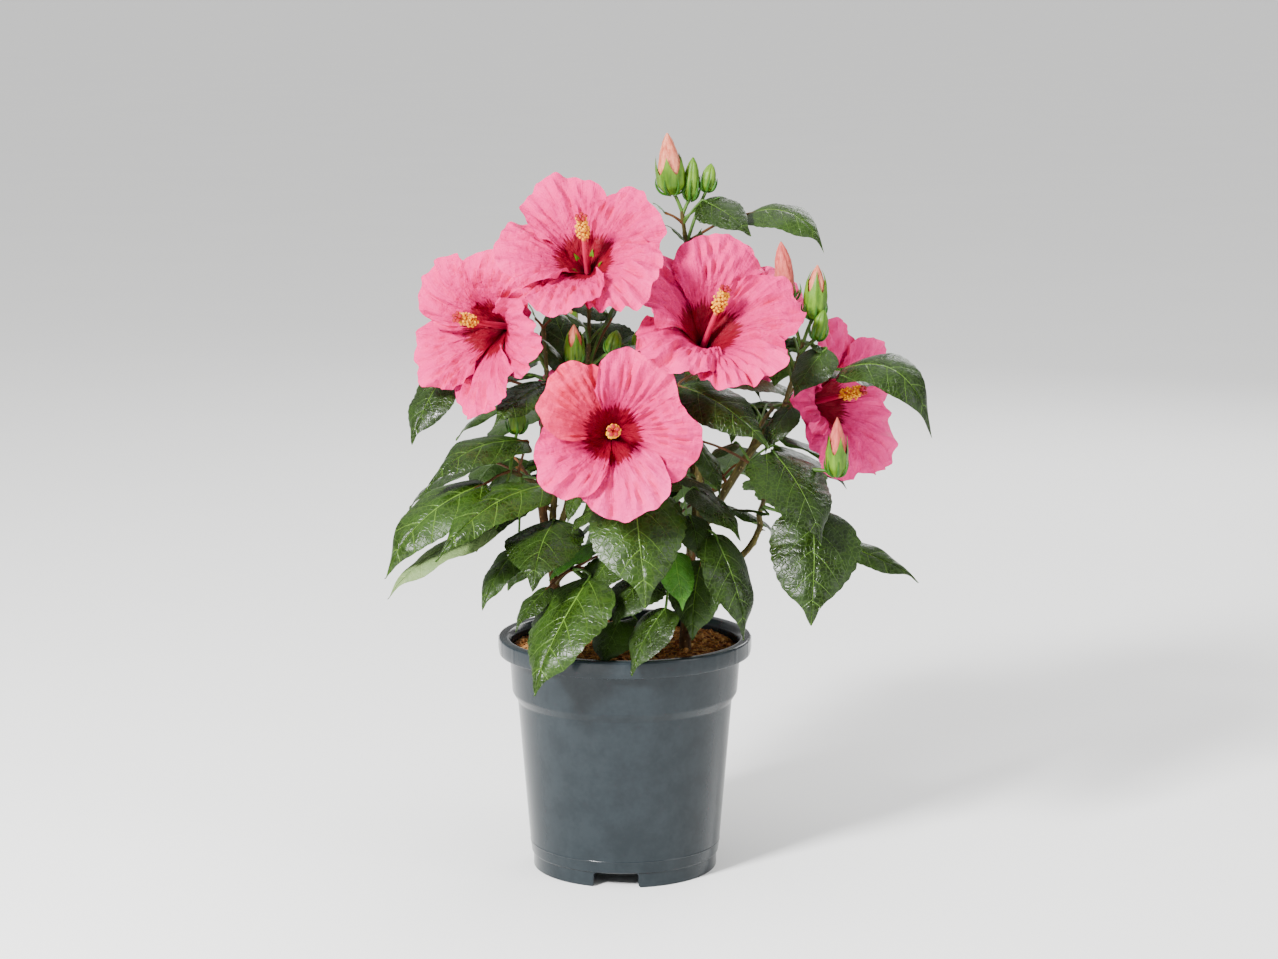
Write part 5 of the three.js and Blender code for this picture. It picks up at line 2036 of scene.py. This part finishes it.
class Foliage:
    """Every mass of the crown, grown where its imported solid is."""

    KINDS = ("twigs", "leaves", "petals", "blossom", "buds")
    TWIG_RADIUS = 1.9
    TWIG_TAPER = 0.5
    SIDES = 12

    def __init__(self, palette: Palette, limbs: Limbs) -> None:
        """Keeps the finishes and the limbs that carry the masses."""
        self.palette = palette
        self.limbs = limbs
        self.leaf = LeafMaker(palette)
        self.flower = FlowerMaker(palette)

    def build(self) -> None:
        """Makes every mass."""
        for number, (name, plan) in enumerate(MASSES.items()):
            self.mass(name, plan, np.random.default_rng(100 + number))

    @staticmethod
    def stalk_ends(line: Array, at: float, stalk: Record) -> tuple[Array, Array]:
        """Where a stalk leaves the twig, and where it ends."""
        length, heading, pitch = stalk
        root = point_at(line, at)
        return root, root + along(heading, pitch) * length

    def grown(self, name: str, line: Array, record: Record) -> tuple[Array, Array] | None:
        """The ends of a leaf's stalk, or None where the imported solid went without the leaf."""
        root, start = self.stalk_ends(line, record[0], record[1:4])
        return (root, start) if PACKED.holds(name, self.leaf.tip(start, record), 0.5) else None

    def mass(self, name: str, plan: MassPlan, random: Random) -> None:
        """Makes one mass as a piece for each kind of thing in it.

        Args:
            name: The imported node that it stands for.
            plan: What grows on it.
            random: The source of its small differences.
        """
        given = np.array(plan.twig, float)
        line = PACKED.clear_start(name, self.limbs.axes[plan.on], given, self.TWIG_RADIUS)
        parts = {kind: Piece(f"{name}_{kind}") for kind in self.KINDS}
        self.twig(parts["twigs"], nearest_on(self.limbs.axes[plan.on], given[0]), line, random)
        for bloom in plan.blooms:
            self.flower.bloom(parts, *self.stalk_ends(line, bloom.at, bloom.stalk), bloom, random)
        for bud in plan.buds:
            root, start = self.stalk_ends(line, bud.at, bud.stalk)
            tip = start + along(*bud.face) * bud.length
            if PACKED.holds(name, tip, 0.25 * bud.radius + 0.5):
                self.flower.bud(parts, root, start, bud)
            else:
                log.info("%s: no bud at %s", name, bud.at)
        kept = 0
        for record, tint in zip(plan.leaves, plan.tints):
            ends = self.grown(name, line, record)
            if ends:
                kept += 1
                self.leaf.grow(parts["leaves"], parts["twigs"], *ends, record, random, tint)
        for record in plan.shoot.leaves() if plan.shoot else ():
            kept += self.seeded_leaf(name, line, record, parts, random)
        log.info("%s: %d leaves", name, kept)
        for kind, piece in parts.items():
            if piece.sheets:
                piece.build(Slot.FOLIAGE, name)

    def seeded_leaf(
        self, name: str, line: Array, record: Record, parts: dict[str, Piece], random: Random
    ) -> int:
        """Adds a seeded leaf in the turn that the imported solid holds, and says whether it did."""
        for turn, tilt in TURNS:
            spec = list(record)
            spec[2] += turn
            spec[6] += turn
            spec[7] += tilt
            ends = self.grown(name, line, tuple(spec))
            if ends:
                self.leaf.grow(parts["leaves"], parts["twigs"], *ends, tuple(spec), random)
                return 1
        return 0

    def twig(self, piece: Piece, foot: Array, line: Array, random: Random) -> None:
        """Adds a mass's own twig, rooted inside what carries it.

        Args:
            piece: Where it goes.
            foot: The point of the host's axis that it grows from.
            line: Its points outside the host.
            random: The source of its small differences.
        """
        count = max(16, int(strides(line).sum() / 1.5))
        t = np.linspace(0, 1, count)
        radii = self.TWIG_RADIUS - self.TWIG_TAPER * t
        for place in np.arange(0.12, 0.98, 0.14):
            radii = radii + 0.45 * bell(t, place, 0.018)
        relief = 1 + random.normal(0, 0.03, (count, self.SIDES))
        bark = self.palette.young_bark
        piece.strand([foot, *line], radii[:, None] * relief, self.SIDES, bark, SHORT_RUN)


# Studio


@dataclass(frozen=True)
class Panel:
    """A soft lamp: where it stands and what it looks at, in metres, its size and its power."""

    name: str
    place: Spot
    aim: Spot
    size: Pair
    power: float


@dataclass(frozen=True)
class Studio:
    """The pale floor, the soft lamps and the camera at the photo's angle."""

    camera_place: Spot = (10.6, -2300.0, 680.0)
    camera_pitch: float = 9.52
    focal_pixels: float = 3133.0
    image_width: float = 1278.0
    sensor_width: float = 36.0
    clip_end: float = 400.0
    floor_size: float = 160.0
    wall: float = 1.0
    horizon: float = 0.35
    zenith: float = 1.3

    def panels(self) -> list[Panel]:
        """The lamps."""
        return [
            Panel("key", (-1.45, -1.8, 1.65), (0, 0, 0.32), (0.45, 0.55), 230),
            Panel("fill", (1.9, -1.1, 0.9), (0, 0, 0.3), (0.8, 1.5), 20),
            Panel("top", (0.3, 0.3, 2.2), (0, 0, 0.2), (1.2, 1.2), 10),
            Panel("back", (0.9, 2.0, 1.4), (0, 0, 0.3), (1.2, 1.0), 24),
        ]

    def build(self) -> None:
        """Makes the floor, the lamps, the surrounding light and the camera."""
        self.lay_floor()
        for panel in self.panels():
            self.hang(panel)
        world = bpy.data.worlds.new("studio")
        world.use_nodes = True
        desk = Desk(world.node_tree)
        rise = desk.parts(desk.node("ShaderNodeTexCoord").outputs["Generated"])[2]
        high = desk.span(rise, 0.2, 0.9, self.horizon, self.zenith)
        low = desk.span(rise, 0.05, 0.14, self.wall, 0.0)
        background = world.node_tree.nodes["Background"]
        desk.set(background, Color=(1, 1, 1, 1), Strength=desk.math("ADD", high, low))
        bpy.context.scene.world = world
        self.set_camera()

    def lay_floor(self) -> None:
        """A wide pale floor with the faintest grain."""
        half = self.floor_size / 2
        mesh = bpy.data.meshes.new("floor")
        corners = [(x * half, y * half, 0) for x, y in ((-1, -1), (1, -1), (1, 1), (-1, 1))]
        mesh.from_pydata(corners, [], [(0, 1, 2, 3)])
        shade = Shade("floor_pale")
        cloud = shade.desk.noise(shade.place, 3.0, 2.0)
        shade.set(Base_Color=shade.desk.mix(cloud, "#f4f4f3", "#f8f8f7"), Roughness=0.9)
        mesh.materials.append(shade.material)
        placed("floor", mesh)

    @staticmethod
    def hang(panel: Panel) -> None:
        """Adds one lamp."""
        lamp = bpy.data.lights.new(panel.name, "AREA")
        lamp.shape = "RECTANGLE"
        lamp.size, lamp.size_y = panel.size
        lamp.energy = panel.power
        held = placed(panel.name, lamp)
        held.location = panel.place
        way = Vector(panel.aim) - Vector(panel.place)
        held.rotation_euler = way.to_track_quat("-Z", "Y").to_euler()

    def set_camera(self) -> None:
        """Adds the camera where the photo was taken from."""
        view = bpy.data.cameras.new("camera")
        view.sensor_width = self.sensor_width
        view.lens = self.focal_pixels / self.image_width * self.sensor_width
        view.clip_end = self.clip_end
        held = placed("camera", view)
        held.location = Vector(np.array(self.camera_place) * MM + PACKED.origin)
        held.rotation_euler = (math.radians(90 - self.camera_pitch), 0, 0)
        bpy.context.scene.camera = held


def main() -> None:
    """Builds the plant and the studio in order."""
    logging.basicConfig(level=logging.INFO, format="%(message)s")
    palette = Palette()
    Pot(palette).build()
    GrowingMix(palette).build()
    limbs = Limbs(palette)
    limbs.build()
    Foliage(palette, limbs).build()
    Studio().build()


if __name__ == "__main__":
    main()
